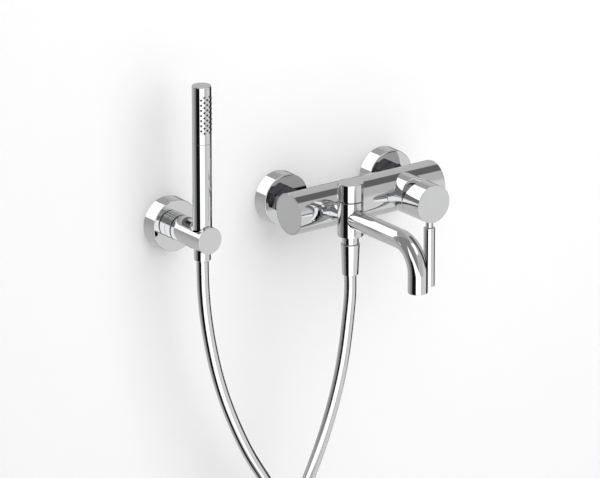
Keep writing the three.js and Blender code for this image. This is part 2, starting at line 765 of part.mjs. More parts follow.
function showerStick(group) {
  const sleeveRadius = STICK_BORE - GAP;
  const halfGap = GAP / 2;
  const capBottom = STICK_TOP - 2.2;
  const handleTube = ring("z", STICK_RADIUS, STICK_BORE, STICK_BOTTOM, STICK_SEAM - halfGap);
  piece(group, "shower_handle_tube", handleTube, CHROME);

  const headTube = ring("z", STICK_RADIUS, STICK_BORE, STICK_SEAM + halfGap, capBottom - GAP);
  const holes = nozzleRods(NOZZLE_RADIUS + GAP, STICK_BORE - 1, STICK_RADIUS + 1);
  piece(group, "shower_head_tube", cut(headTube, ...holes), CHROME);

  const spigot = ring("z", sleeveRadius, 7.5, capBottom - 5.5, capBottom + 0.5);
  piece(group, "shower_top_cap", join(rod("z", STICK_RADIUS, capBottom, STICK_TOP), spigot), CHROME);

  const joint = ring("z", sleeveRadius, 7.8, STICK_SEAM - 8, STICK_SEAM + 8);
  piece(group, "shower_joint_sleeve", joint, BRASS);

  const matLow = STICK_SEAM + 8 + GAP;
  const matHigh = capBottom - 5.5 - GAP;
  const mat = ring("z", sleeveRadius, 8.2, matLow, matHigh);
  const nubs = nozzleRods(NOZZLE_RADIUS, 8.8, NOZZLE_REACH);
  piece(group, "nozzle_insert", join(mat, ...nubs), NOZZLE_RUBBER);
}

function showerConnection(group) {
  const threadRadius = 7.3;
  const tubeRadius = 6;
  const connectorTop = 10;
  const tubeSeat = 2;
  const threadBottom = -17;
  const connector = turned("z", [
    [4.5, threadBottom],
    [threadRadius, threadBottom],
    [threadRadius, STICK_BOTTOM + GAP],
    [STICK_BORE - GAP, STICK_BOTTOM + GAP],
    [STICK_BORE - GAP, connectorTop],
    [tubeRadius + GAP, connectorTop],
    [tubeRadius + GAP, tubeSeat],
    [4.5, tubeSeat],
  ]);
  piece(group, "shower_connector", connector, BRASS);
  const waterTube = ring("z", tubeRadius, 4.6, tubeSeat + GAP, STICK_SEAM + 5, { sides: SMALL_SIDES });
  piece(group, "shower_water_tube", waterTube, WHITE_PLASTIC);

  const nutTop = STICK_BOTTOM - 0.4;
  const shoulder = -21.3;
  const nut = turned("z", [
    [threadRadius + GAP, nutTop],
    [9.5, nutTop],
    [9.5, SHOWER_NUT_BOTTOM],
    [INSERT_STEM + GAP, SHOWER_NUT_BOTTOM],
    [INSERT_STEM + GAP, shoulder],
    [threadRadius + GAP, shoulder],
  ]);
  piece(group, "shower_hose_nut", nut, CHROME);
  const washerTop = threadBottom - GAP;
  const washerBottom = washerTop - 1.5;
  piece(group, "shower_hose_washer", ring("z", 7.2, 4.5, washerBottom, washerTop), BLACK_RUBBER);
  const insert = hoseInsert(threadRadius, washerBottom - GAP, shoulder + GAP, SHOWER_NUT_BOTTOM);
  piece(group, "shower_hose_insert", insert, BRASS);
}

function handShower() {
  const group = new THREE.Group();
  group.position.set(HOLDER_X, -STICK_OUT, 0);
  showerStick(group);
  showerConnection(group);
  return group;
}

// ---------- wall holder ----------
function wallFixing(group) {
  const plateDepth = 4;
  const screwOffset = 16;
  const shankRadius = 2;
  const headRadius = 4;
  const bossRadius = 9;
  const plate = join(
    rod("out", 24, 0, plateDepth),
    rod("out", bossRadius, plateDepth - 1, 28),
  );
  const names = ["upper", "lower"];
  const small = { sides: SMALL_SIDES };
  const heights = [screwOffset, -screwOffset];
  const countersinks = heights.map((z) => join(
    rod("out", shankRadius + GAP, -1, plateDepth + 1, { at: [0, 0, z], ...small }),
    rod("out", headRadius + GAP, 2, plateDepth + 1, { at: [0, 0, z], ...small }),
  ));
  piece(group, "holder_wall_plate", cut(plate, ...countersinks), STEEL);
  names.forEach((name, i) => {
    const at = [0, 0, heights[i]];
    const head = rod("out", headRadius, 2 + GAP, plateDepth + 0.2, { at, ...small });
    const shank = rod("out", shankRadius, -32, 3, { at, ...small });
    const key = rod("out", 1.4, 3, plateDepth + 1, { at, sides: 6 });
    piece(group, `holder_${name}_screw`, cut(join(head, shank), key), STEEL);
    const plug = ring("out", 4, shankRadius + GAP, -34, -GAP, { at, ...small });
    piece(group, `holder_${name}_wall_plug`, plug, GREY_PLASTIC);
  });
  return bossRadius;
}

function holderArm(group) {
  const armBack = HOLDER_SEAM_OUT + 1.4;
  const spigotRadius = 10.6;
  const spigotEnd = 45;
  const bushRadius = 12.3;
  const bushSeat = -10;
  const screwOut = 38;
  const screwRadius = 2.2;
  const small = { sides: SMALL_SIDES };
  const inBore = { at: [0, -STICK_OUT, 0] };
  const arm = cut(
    rod("out", ARM_RADIUS, armBack, ARM_END_OUT),
    rod("out", spigotRadius + GAP, armBack - 1, spigotEnd + GAP),
    rod("z", bushRadius + GAP, bushSeat, ARM_RADIUS + 1, inBore),
    rod("z", STICK_RADIUS - 0.6, -ARM_RADIUS - 1, bushSeat + 1, inBore),
    rod("z", screwRadius + GAP, -ARM_RADIUS - 1, -spigotRadius, { at: [0, -screwOut, 0], ...small }),
  );
  piece(group, "holder_arm", arm, CHROME);

  const screwTop = -spigotRadius - GAP;
  const screw = rod("z", screwRadius, screwTop - 4.5, screwTop, { at: [0, -screwOut, 0], ...small });
  const key = rod("z", 1.2, screwTop - 5, screwTop - 2, { at: [0, -screwOut, 0], sides: 6 });
  piece(group, "holder_grub_screw", cut(screw, key), STEEL);

  // The liner's rim follows the arm's round surface.
  const lipTop = STICK_BOTTOM - GAP;
  const liner = turned("z", [
    [STICK_RADIUS - 0.8, bushSeat + GAP],
    [bushRadius, bushSeat + GAP],
    [bushRadius, ARM_RADIUS],
    [STICK_RADIUS + 0.35, ARM_RADIUS],
    [STICK_RADIUS + 0.35, lipTop],
    [STICK_RADIUS - 0.8, lipTop],
  ], inBore);
  piece(group, "holder_liner", liner.intersect(rod("out", ARM_RADIUS - 0.1, armBack, ARM_END_OUT)), BLACK_RUBBER);
  return { spigotRadius, spigotEnd };
}

function holder() {
  const group = new THREE.Group();
  group.position.x = HOLDER_X;
  const bossRadius = wallFixing(group);
  piece(group, "holder_wall_flange", wallFlange(bossRadius + 2 * GAP), CHROME);
  const { spigotRadius, spigotEnd } = holderArm(group);
  const base = turned("out", [
    [0, spigotEnd],
    [spigotRadius, spigotEnd],
    [spigotRadius, HOLDER_SEAM_OUT],
    [ARM_RADIUS, HOLDER_SEAM_OUT],
    [ARM_RADIUS, FLANGE_DEPTH + GAP],
    [bossRadius + GAP, FLANGE_DEPTH + GAP],
    [bossRadius + GAP, 28 + GAP],
    [0, 28 + GAP],
  ]);
  piece(group, "holder_base", base, CHROME);
  return group;
}

// ---------- assembly ----------
const mixer = new THREE.Group();
piece(mixer, "mixer_body", mixerBody(), CHROME);
piece(mixer, "left_end_cap", endCap(-1), CHROME);
piece(mixer, "right_end_cap", endCap(1), CHROME);

const bathMixer = new THREE.Group();
bathMixer.add(
  supply("hot", -INLET_SPACING / 2),
  supply("cold", INLET_SPACING / 2),
  mixer,
  cartridge(),
  handle(),
  turret(),
  hose(),
  handShower(),
  holder(),
);

export default bathMixer;
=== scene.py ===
"""The looks of a wall mounted bath mixer with a stick hand shower: polished chrome, a silver hose,
dark nozzles, and the pale studio wall that it hangs on. Lengths are in millimetres until a mesh is
built. "Out" is the distance from the wall into the room, so y = -out."""

import json
import math

import bpy
import numpy as np
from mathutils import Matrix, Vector


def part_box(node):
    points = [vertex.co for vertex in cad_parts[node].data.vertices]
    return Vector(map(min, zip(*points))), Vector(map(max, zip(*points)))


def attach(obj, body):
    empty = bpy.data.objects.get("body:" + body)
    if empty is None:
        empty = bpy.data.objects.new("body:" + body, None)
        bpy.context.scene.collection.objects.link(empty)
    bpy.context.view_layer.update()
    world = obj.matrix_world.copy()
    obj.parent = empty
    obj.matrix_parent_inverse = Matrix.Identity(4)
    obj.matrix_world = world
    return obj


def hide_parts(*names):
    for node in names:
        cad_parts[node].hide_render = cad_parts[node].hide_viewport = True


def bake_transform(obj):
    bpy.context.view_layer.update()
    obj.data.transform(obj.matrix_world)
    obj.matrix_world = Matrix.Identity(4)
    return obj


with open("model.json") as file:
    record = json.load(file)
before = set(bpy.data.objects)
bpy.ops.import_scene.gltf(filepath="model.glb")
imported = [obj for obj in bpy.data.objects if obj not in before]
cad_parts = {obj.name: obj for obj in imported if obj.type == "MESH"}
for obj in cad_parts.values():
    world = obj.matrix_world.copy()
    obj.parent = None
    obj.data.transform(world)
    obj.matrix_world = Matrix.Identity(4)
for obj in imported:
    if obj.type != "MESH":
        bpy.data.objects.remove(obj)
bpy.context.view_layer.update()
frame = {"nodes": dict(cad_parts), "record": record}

MM = 0.001
SIDES = 112  # round a large piece
SMALL_SIDES = 40  # round a small piece
ARC_STEPS = 5  # along a rounded edge
SOFT_EDGE = 0.25  # the radius of an edge that isn't given one
FRAME_GAP = 0.3  # between two CAD pieces that touch in the real object
SEAM = 0.3  # what each side leaves open at a seam that shows as a dark line
SEAM_CLOSE = 0.25  # a visible butt joint closes by this much of the frame's gap
CLOSE_FIT = 0.12  # a hole's radius over that of the piece in it
SLIDING_FIT = 0.15
BODY_OF = {
    node: body
    for body, nodes in frame["record"]["behaviour"]["bodies"].items()
    for node in nodes
}
SLOT_OF = {part["node"]: part["material_slot"] for part in frame["record"]["subparts"]}


class Extent:
    """Where a CAD node is at rest, in millimetres."""

    def __init__(self, node):
        low, high = (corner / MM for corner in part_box(node))
        self.left, self.front, self.bottom = low
        self.right, self.back, self.top = high
        self.x, self.y, self.z = (low + high) / 2
        self.near_out, self.far_out = -self.back, -self.front
        self.width = self.right - self.left
        self.height = self.top - self.bottom
        self.radius = self.width / 2
        self.upright = (self.x, self.y, 0)  # a point of its upright axis
        self.behind = (self.x, 0, 0)  # where its axis out of the wall meets the wall


# ---------- camera ----------
AZIMUTH = math.radians(-36.15)
ELEVATION = math.radians(19.05)
AIM = Vector((-0.0997, -0.08, -0.0257))
CAMERA_DISTANCE = 6.523
LENS = 343.5


def place_camera():
    towards = Vector((
        math.sin(AZIMUTH) * math.cos(ELEVATION),
        -math.cos(AZIMUTH) * math.cos(ELEVATION),
        math.sin(ELEVATION),
    ))
    data = bpy.data.cameras.new("camera")
    data.lens = LENS
    data.clip_end = 30
    camera = bpy.data.objects.new("camera", data)
    camera.location = AIM + towards * CAMERA_DISTANCE
    camera.rotation_euler = towards.to_track_quat("Z", "Y").to_euler()
    bpy.context.scene.collection.objects.link(camera)
    bpy.context.scene.camera = camera


# ---------- turned shapes ----------
class Shape:
    """A closed surface: its points, its faces and the true normal at each point."""

    def __init__(self, points, faces, normals):
        self.points = np.asarray(points, float)
        self.normals = np.asarray(normals, float)
        self.faces = faces
        if self.volume() < 0:
            self.faces = [face[::-1] for face in faces]

    def volume(self):
        """Six times the volume inside, negative where the faces point inwards."""
        fans = [
            (face[0], face[i], face[i + 1])
            for face in self.faces
            for i in range(1, len(face) - 1)
        ]
        a, b, c = (self.points[list(corner)] for corner in zip(*fans))
        return float(np.sum(a * np.cross(b, c)))


def together(shapes):
    """Several shapes that don't touch, as one."""
    points, faces, normals = [], [], []
    for shape in shapes:
        start = len(points)
        points.extend(shape.points)
        normals.extend(shape.normals)
        faces.extend([[start + i for i in face] for face in shape.faces])
    return Shape(points, faces, normals)


def corner_arc(before, corner, after, radius, outward):
    """A corner rounded by an arc, as points with their normals. outward is +1 or -1."""
    to_before = before - corner
    to_after = after - corner
    reach = 0.49 * min(np.linalg.norm(to_before), np.linalg.norm(to_after))
    u = to_before / np.linalg.norm(to_before)
    v = to_after / np.linalg.norm(to_after)
    half = math.acos(np.clip(u @ v, -1, 1)) / 2
    if half > math.radians(89.5):
        normal = outward * np.array((v[1], -v[0]))
        return [(corner, normal)]
    tangent = min(radius / math.tan(half), reach)
    radius = tangent * math.tan(half)
    bisector = (u + v) / np.linalg.norm(u + v)
    centre = corner + bisector * radius / math.sin(half)
    start = corner + u * tangent - centre
    end = corner + v * tangent - centre
    turn = math.atan2(start[0] * end[1] - start[1] * end[0], start @ end)
    sign = 1 if (u[0] * v[1] - u[1] * v[0]) * outward < 0 else -1
    found = []
    for i in range(ARC_STEPS + 1):
        angle = turn * i / ARC_STEPS
        spin = np.array(((math.cos(angle), -math.sin(angle)), (math.sin(angle), math.cos(angle))))
        arm = spin @ start
        found.append((centre + arm, sign * arm / radius))
    return found


def rounded(corners, step=None):
    """A lathe profile with every corner rounded. A corner is (radius, along) or (radius, along,
    edge radius). A profile that doesn't start on the axis closes on itself. step adds points
    along the straight stretches, for a piece whose axis bends."""
    spots = [np.array(corner[:2], float) for corner in corners]
    edges = [corner[2] if len(corner) > 2 else SOFT_EDGE for corner in corners]
    closed = spots[0][0] > 0
    count = len(spots)
    area = sum(
        spots[i][0] * spots[(i + 1) % count][1] - spots[(i + 1) % count][0] * spots[i][1]
        for i in range(count)
    )
    outward = 1 if area > 0 else -1
    found = []
    for i, spot in enumerate(spots):
        if not closed and i in (0, count - 1):
            other = spots[1] if i == 0 else spots[-2]
            way = (other - spot) if i == 0 else (spot - other)
            way /= np.linalg.norm(way)
            found.append((spot, outward * np.array((way[1], -way[0]))))
            continue
        before, after = spots[i - 1], spots[(i + 1) % count]
        found.extend(corner_arc(before, spot, after, edges[i], outward))
    if step:
        found = subdivided(found, closed, step)
    return found, closed


def subdivided(profile, closed, step):
    found = []
    last = len(profile) if closed else len(profile) - 1
    for i in range(last):
        (spot, normal), (next_spot, _) = profile[i], profile[(i + 1) % len(profile)]
        pieces = max(1, math.ceil(np.linalg.norm(next_spot - spot) / step))
        found.extend((spot + (next_spot - spot) * j / pieces, normal) for j in range(pieces))
    if not closed:
        found.append(profile[-1])
    return found


def straight(axis, at):
    """A straight axis: its point, a side and its direction at each distance along it."""
    along = {"x": (1, 0, 0), "out": (0, -1, 0), "z": (0, 0, 1)}[axis]
    side = {"x": (0, 1, 0), "out": (1, 0, 0), "z": (1, 0, 0)}[axis]
    along, side, at = (np.array(vector, float) for vector in (along, side, at))
    return lambda distance: (at + along * distance, side, along)


def turned(corners, path, sides=SIDES, step=None):
    """The solid that a profile sweeps around a straight or bent axis."""
    profile, closed = rounded(corners, step)
    angles = [2 * math.pi * i / sides for i in range(sides)]
    points, normals, rings = [], [], []
    for (radius, distance), (outward, forward) in profile:
        origin, side, along = path(distance)
        up = np.cross(along, side)
        on_axis = radius < 1e-6
        ring = [len(points) + i for i in range(1 if on_axis else sides)]
        for angle in angles[: len(ring)]:
            away = side * math.cos(angle) + up * math.sin(angle)
            points.append(origin + away * radius)
            normals.append(along * forward + away * (0 if on_axis else outward))
        rings.append(ring)
    faces = []
    for i in range(len(rings) if closed else len(rings) - 1):
        faces.extend(band(rings[i], rings[(i + 1) % len(rings)], sides))
    return Shape(points, faces, normals)


def lathe(axis, at, corners, sides=SIDES):
    """The solid that a profile sweeps around a straight axis."""
    return turned(corners, straight(axis, at), sides)


def band(ring, following, sides):
    if len(ring) == 1 and len(following) == 1:
        return []
    faces = []
    for i in range(sides):
        j = (i + 1) % sides
        if len(ring) == 1:
            faces.append([ring[0], following[j], following[i]])
        elif len(following) == 1:
            faces.append([ring[i], ring[j], following[0]])
        else:
            faces.append([ring[i], ring[j], following[j], following[i]])
    return faces


def rod(axis, radius, start, end, at, edge=SOFT_EDGE, sides=SIDES, bore=0):
    corners = [(bore, start, edge), (radius, start, edge), (radius, end, edge), (bore, end, edge)]
    return lathe(axis, at, corners, sides)


def extruded(axis, outline, start, end, at):
    """An outline of (side, up) points, extruded along an axis."""
    path = straight(axis, at)
    points = []
    for distance in (start, end):
        origin, side, along = path(distance)
        points.extend(origin + side * a + np.cross(along, side) * b for a, b in outline)
    count = len(outline)
    faces = [list(range(count)), list(range(count, 2 * count))[::-1]]
    for i in range(count):
        j = (i + 1) % count
        faces.append([j, i, count + i, count + j])
    return Shape(points, faces, np.zeros((2 * count, 3)))


def hexagon(axis, corner_radius, start, end, at, edge=0.5):
    """A hexagonal bar with rounded corners, one of them at the top."""
    angles = [math.radians(30 + 60 * i) for i in range(6)]
    corners = [corner_radius * np.array((math.cos(angle), math.sin(angle))) for angle in angles]
    outline = []
    for i, corner in enumerate(corners):
        arc = corner_arc(corners[i - 1], corner, corners[(i + 1) % 6], edge, 1)
        outline.extend(spot for spot, _ in arc)
    return extruded(axis, outline, start, end, at)


def leaning(shape, beyond, slope):
    """The part of a shape further out than beyond leans back above z = 0 by the slope, or, where
    beyond is negative, the part nearer than -beyond leans forward."""
    points, normals = shape.points.copy(), shape.normals.copy()
    for point, normal in zip(points, normals):
        out = -point[1]
        moves = out > beyond if beyond > 0 else out < -beyond
        if not moves or point[2] < -1e-6:
            continue
        way = 1 if beyond > 0 else -1
        point[1] += way * slope * max(point[2], 0)
        normal[2] += way * (slope if point[2] > 1e-6 else slope / 2) * -normal[1]
        normal /= max(np.linalg.norm(normal), 1e-9)
    return Shape(points, shape.faces, normals)


def threaded(axis, root, crest, pitch, start, end, at, sides=48):
    """A rod with a helical thread."""
    path = straight(axis, at)
    steps = math.ceil((end - start) / pitch * 8)
    points, rings = [path(start)[0]], []
    for step in range(steps + 1):
        distance = start + (end - start) * step / steps
        origin, side, along = path(distance)
        up = np.cross(along, side)
        ring = []
        for i in range(sides):
            phase = ((distance - start) / pitch - i / sides) % 1
            height = min(1, max(0, 1.6 * (1 - abs(2 * phase - 1)) - 0.3))
            radius = root + (crest - root) * height
            angle = 2 * math.pi * i / sides
            ring.append(len(points))
            points.append(origin + (side * math.cos(angle) + up * math.sin(angle)) * radius)
        rings.append(ring)
    points.append(path(end)[0])
    rings = [[0], *rings, [len(points) - 1]]
    faces = []
    for i in range(len(rings) - 1):
        faces.extend(band(rings[i], rings[i + 1], sides))
    return Shape(points, faces, np.zeros((len(points), 3)))


# ---------- meshes ----------
def new_object(name, mesh):
    piece = bpy.data.objects.new(name, mesh)
    bpy.context.scene.collection.objects.link(piece)
    return piece


def mesh_from(name, shape, true_normals=True):
    mesh = bpy.data.meshes.new(name)
    mesh.from_pydata((shape.points * MM).tolist(), [], shape.faces)
    mesh.shade_smooth()
    if true_normals:
        mesh.normals_split_custom_set_from_vertices(shape.normals.tolist())
    return mesh


def as_mesh(item, true_normals=True):
    return item if isinstance(item, bpy.types.Mesh) else mesh_from("work", item, true_normals)


def combined(shapes_or_meshes, operation):
    """One mesh from a first solid and the tools that cut it or join it."""
    solids = [new_object("work", as_mesh(item, False)) for item in shapes_or_meshes]
    base = solids[0]
    for tool in solids[1:]:
        modifier = base.modifiers.new("boolean", "BOOLEAN")
        modifier.operation = operation
        modifier.solver = "EXACT"
        modifier.object = tool
    result = evaluated(base)
    for solid in solids:
        bpy.data.objects.remove(solid)
    return result


def evaluated(piece):
    graph = bpy.context.evaluated_depsgraph_get()
    return bpy.data.meshes.new_from_object(piece.evaluated_get(graph))


def cut(solid, *tools):
    return combined([solid, *tools], "DIFFERENCE")


def joined(solid, *others):
    return combined([solid, *others], "UNION")


def shared(solid, *others):
    return combined([solid, *others], "INTERSECT")


FLAT_AREA = 3.0  # square millimetres: a face this large that is on no round surface is flat
ROUND_TOLERANCE = 0.04
SMOOTH_ANGLE = math.cos(math.radians(42))


class Round:
    """A round surface of a cut mesh, which gives its true normals."""

    def __init__(self, axis, radius, at):
        self.origin, _, self.along = straight(axis, at)(0)
        self.radius = radius

    def away(self, points):
        arms = points - self.origin
        return arms - np.outer(arms @ self.along, self.along)

    def holds(self, points):
        return np.abs(np.linalg.norm(self.away(points), axis=1) - self.radius) < ROUND_TOLERANCE


def read(collection, name, width, kind=float):
    """One property of all a mesh's vertices, faces or corners, as an array."""
    values = np.zeros(len(collection) * width, kind)
    collection.foreach_get(name, values)
    return values.reshape(-1, width) if width > 1 else values


def polished(mesh, *rounds):
    """Gives a cut mesh true normals: exact on the round surfaces and flats, blended between. The
    round surfaces that share an axis are given together, as (axis, at, radius, radius...)."""
    mesh.shade_smooth()
    points = read(mesh.vertices, "co", 3) / MM
    face_normals = read(mesh.polygons, "normal", 3)
    areas = read(mesh.polygons, "area", 1) / MM**2
    counts = read(mesh.polygons, "loop_total", 1, np.int32)
    vertex = read(mesh.loops, "vertex_index", 1, np.int32)
    face = np.repeat(np.arange(len(counts)), counts)
    normals = face_normals[face]
    exact = areas[face] > FLAT_AREA
    for surface in [Round(axis, radius, at) for axis, at, *radii in rounds for radius in radii]:
        off = np.bincount(face, ~surface.holds(points)[vertex], len(counts)) > 0
        on = ~off & (np.abs(face_normals @ surface.along) < 0.05)
        chosen = on[face]
        away = surface.away(points[vertex[chosen]])
        away /= np.linalg.norm(away, axis=1)[:, None]
        away *= np.sign(np.sum(away * face_normals[face[chosen]], axis=1))[:, None]
        normals[chosen] = away
        exact |= chosen
    return blended(mesh, normals, exact, vertex, face, areas)


def blended(mesh, normals, exact, vertex, face, areas):
    """Sets the corners' normals, and averages them where a corner isn't exact."""
    at_vertex = [[] for _ in mesh.vertices]
    for corner, spot in enumerate(vertex):
        at_vertex[spot].append(corner)
    found = normals.copy()
    for corner in np.flatnonzero(~exact):
        near = np.array(at_vertex[vertex[corner]])
        near = near[normals[near] @ normals[corner] > SMOOTH_ANGLE]
        total = areas[face[near]] @ normals[near] + 1e-9 * normals[corner]
        found[corner] = total / np.linalg.norm(total)
    mesh.normals_split_custom_set(found.tolist())
    return mesh


def fine_piece(node, mesh):
    """A finely made piece, in the material of its CAD node's slot."""
    name = node + ".fine"
    mesh.name = name
    mesh.materials.clear()
    mesh.materials.append(MATERIALS[SLOT_OF[node]])
    return new_object(name, mesh)


def stand_in(node, made):
    """Shows a finely made piece in place of a CAD node, and moves it with that node's body."""
    piece = fine_piece(node, as_mesh(made))
    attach(piece, BODY_OF[node])
    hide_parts(node)


# ---------- node helpers ----------
def feed(tree, socket, value):
    """Gives an input its value, or a link where the value is another node's output."""
    if isinstance(value, bpy.types.NodeSocket):
        tree.links.new(value, socket)
    else:
        socket.default_value = value


def add_node(tree, kind, inputs=None):
    node = tree.nodes.new("ShaderNode" + kind)
    for name, value in (inputs or {}).items():
        feed(tree, node.inputs[name], value)
    return node


class Maths:
    """Arithmetic in a node tree: each call adds a Math node and returns its output."""

    def __init__(self, tree):
        self.tree = tree

    def __call__(self, operation, *values):
        node = add_node(self.tree, "Math")
        node.operation = operation
        for socket, value in zip(node.inputs, values):
            feed(self.tree, socket, value)
        return node.outputs[0]

    def rise(self, value, start, end):
        """0 below start, 1 above end, smooth between."""
        node = add_node(self.tree, "MapRange", {"Value": value, "From Min": start, "From Max": end})
        node.interpolation_type = "SMOOTHSTEP"
        return node.outputs[0]

    def window(self, value, low, high, blur):
        """1 between low and high, fading over blur at each side."""
        into = self.rise(value, self("SUBTRACT", low, blur), self("ADD", low, blur))
        out = self.rise(value, self("SUBTRACT", high, blur), self("ADD", high, blur))
        return self("MULTIPLY", into, self("SUBTRACT", 1, out))

    def all_of(self, mask, *others):
        for other in others:
            mask = self("MULTIPLY", mask, other)
        return mask

    def mix(self, below, above, mask):
        share = self("MULTIPLY", above, mask)
        rest = self("MULTIPLY", below, self("SUBTRACT", 1, mask))
        return self("ADD", share, rest)


# ---------- the studio's light ----------
# How bright the chrome shows each part of the studio.
WHITE = 1.15
BRIGHT = 0.59
FRONT = 0.43
BACK = 0.32
DIM = 0.21
DARK = 0.11
BLACK = 0.006
CHROME_REFLECTS = 0.68
AMBIENT = 0.49  # what lights the wall and the plastics from all round
BACKDROP = 0.95
KEY_POWER = 18.4  # watts of the two soft boxes that light the wall
LOW_POWER = 11.7


def studio_world():
    """The studio that the chrome mirrors: a grey room with white boxes and black flags. Directions
    are an azimuth, 0 towards the room and 90 to the right, and an elevation, in degrees."""
    world = bpy.data.worlds.new("studio")
    bpy.context.scene.world = world
    world.use_nodes = True
    tree = world.node_tree
    tree.nodes.clear()
    m = Maths(tree)
    direction = add_node(tree, "TexCoord").outputs["Generated"]
    x, y, z = add_node(tree, "SeparateXYZ", {"Vector": direction}).outputs
    azimuth = m("DEGREES", m("ARCTAN2", x, m("MULTIPLY", y, -1)))
    elevation = m("DEGREES", m("ARCSINE", z))
    depression = m("MULTIPLY", elevation, -1)

    light = m.mix(BACK, FRONT, m.rise(depression, -5, 30))
    light = m.mix(light, DIM, m.window(azimuth, -134, -22, 5))
    light = room_side(m, light, azimuth, depression)
    light = black_flags(m, light, azimuth, elevation, depression)
    light = overhead(m, light, x, y, z)

    ray = add_node(tree, "LightPath").outputs
    light = m.mix(AMBIENT, m("DIVIDE", light, CHROME_REFLECTS), ray["Is Glossy Ray"])
    background = add_node(tree, "Background", {"Color": m.mix(light, BACKDROP, ray["Is Camera Ray"])})
    add_node(tree, "OutputWorld", {"Surface": background.outputs[0]})


def room_side(m, light, azimuth, depression):
    """A pale room in front, brighter low on the right, and a big white box low on the left whose
    top edge climbs to the left."""
    light = m.mix(light, FRONT, m.window(azimuth, -20, 150, 6))
    lower_right = m.all_of(m.window(azimuth, 29, 76, 3), m.rise(depression, -24, -6))
    light = m.mix(light, BRIGHT, lower_right)
    lower_middle = m.all_of(m.window(azimuth, -20, 40, 4), m.rise(depression, 15, 21))
    light = m.mix(light, BRIGHT, lower_middle)
    below_slope = m("SUBTRACT", depression, m("MULTIPLY_ADD", azimuth, 0.667, 20))
    white_box = m.all_of(
        m.window(azimuth, -92, 20, 2),
        m.rise(below_slope, -1.5, 1.5),
        m("SUBTRACT", 1, m.rise(depression, 40, 54)),
    )
    return m.mix(light, WHITE, white_box)


def black_flags(m, light, azimuth, elevation, depression):
    """One black flag on the left, its right edge leaning left as it rises, and three on the right."""
    right_edge = m("MULTIPLY_ADD", m("MAXIMUM", elevation, -20), -0.8, -73)
    beyond_edge = m.rise(azimuth, m("SUBTRACT", right_edge, 1.5), m("ADD", right_edge, 1.5))
    left_flag = m.all_of(
        m.rise(azimuth, -115, -98),
        m("SUBTRACT", 1, beyond_edge),
        m.rise(depression, -14, -2),
    )
    light = m.mix(light, BLACK, left_flag)
    upper = m.all_of(m.window(azimuth, 62, 117, 3), m.window(elevation, 32, 66, 4))
    light = m.mix(light, DARK, upper)
    middle = m.all_of(m.window(azimuth, 59, 84, 2), m.window(elevation, -4, 36, 3))
    light = m.mix(light, 4 * BLACK, middle)
    lower = m.all_of(m.window(azimuth, 74, 150, 2), m.window(elevation, -25, -2, 2))
    return m.mix(light, BLACK, lower)


def overhead(m, light, x, y, z):
    """A white box above the room and another high behind the wall, as they lie on a ceiling one
    unit up: across to the right and behind the wall."""
    above = m("MAXIMUM", z, 0.001)
    across, behind = m("DIVIDE", x, above), m("DIVIDE", y, above)
    rising = m.rise(z, 0.1, 0.16)
    front_box = m.all_of(
        m.window(across, -0.14, 0.42, 0.05),
        m.window(behind, -1.05, -0.2, 0.07),
        rising,
    )
    light = m.mix(light, WHITE, front_box)
    slope = m("MULTIPLY_ADD", across, -0.98, 1.38)
    rear_box = m.all_of(
        m.window(m("DIVIDE", across, m("MAXIMUM", behind, 0.01)), -0.86, 0.05, 0.02),
        m.rise(behind, 0.98, 1.04),
        m.rise(m("SUBTRACT", slope, behind), -0.04, 0.04),
        rising,
    )
    return m.mix(light, WHITE, rear_box)


def soft_light(name, place, size, power):
    """A soft box that lights the wall and casts the soft shadows. Chrome doesn't mirror it."""
    data = bpy.data.lights.new(name, "AREA")
    data.shape = "DISK"
    data.size = size
    data.energy = power
    lamp = new_object(name, data)
    lamp.location = place
    lamp.rotation_euler = (Vector(place) - AIM).to_track_quat("Z", "Y").to_euler()
    lamp.visible_glossy = False


# ---------- materials ----------
class Surface:
    """A new material: its shader, and patterns of noise over the piece that drive it."""

    def __init__(self, name, colour, metallic, roughness):
        self.material = bpy.data.materials.new(name)
        self.material.use_nodes = True
        self.tree = self.material.node_tree
        self.shader = self.tree.nodes["Principled BSDF"]
        self.place = self.add("TexCoord").outputs["Object"]
        self.set("Base Color", (*colour, 1))
        self.set("Metallic", metallic)
        self.set("Roughness", roughness)

    def add(self, kind, inputs=None):
        return add_node(self.tree, kind, inputs)

    def set(self, name, value):
        feed(self.tree, self.shader.inputs[name], value)

    def noise(self, scale, detail=3):
        return self.add("TexNoise", {"Scale": scale, "Detail": detail, "Vector": self.place}).outputs[0]

    def grain(self, stretch, detail):
        """Noise drawn out along the piece."""
        place = self.add("Mapping", {"Scale": stretch, "Vector": self.place}).outputs[0]
        return self.add("TexNoise", {"Scale": 1, "Detail": detail, "Vector": place}).outputs[0]

    def vary(self, pattern, low, high):
        """The roughness goes from low to high with a 0.3 to 0.7 pattern."""
        ends = {"From Min": 0.3, "From Max": 0.7, "To Min": low, "To Max": high}
        self.set("Roughness", self.add("MapRange", {**ends, "Value": pattern}).outputs[0])

    def tint(self, pattern, dark, light):
        """The colour goes from dark to light with a 0.3 to 0.7 pattern."""
        node = self.add("ValToRGB", {"Fac": pattern})
        for end, position, shade in zip(node.color_ramp.elements, (0.3, 0.7), (dark, light)):
            end.position = position
            end.color = (*shade, 1)
        self.set("Base Color", node.outputs["Color"])

    def relief(self, height, depth):
        """Bumps depth metres deep."""
        node = self.add("Bump", {"Strength": 1, "Distance": depth, "Height": height})
        self.set("Normal", node.outputs[0])


def chrome_plate():
    """Mirror polished: faint smudges in the gloss and the slightest waviness in the plating."""
    chrome = Surface("chrome_plate", (0.68, 0.682, 0.687), 1, 0.04)
    chrome.vary(chrome.noise(55, 6), 0.02, 0.06)
    chrome.tint(chrome.noise(20), (0.665, 0.667, 0.672), (0.69, 0.692, 0.697))
    chrome.relief(chrome.noise(260, 2), 1.2e-6)
    return chrome.material


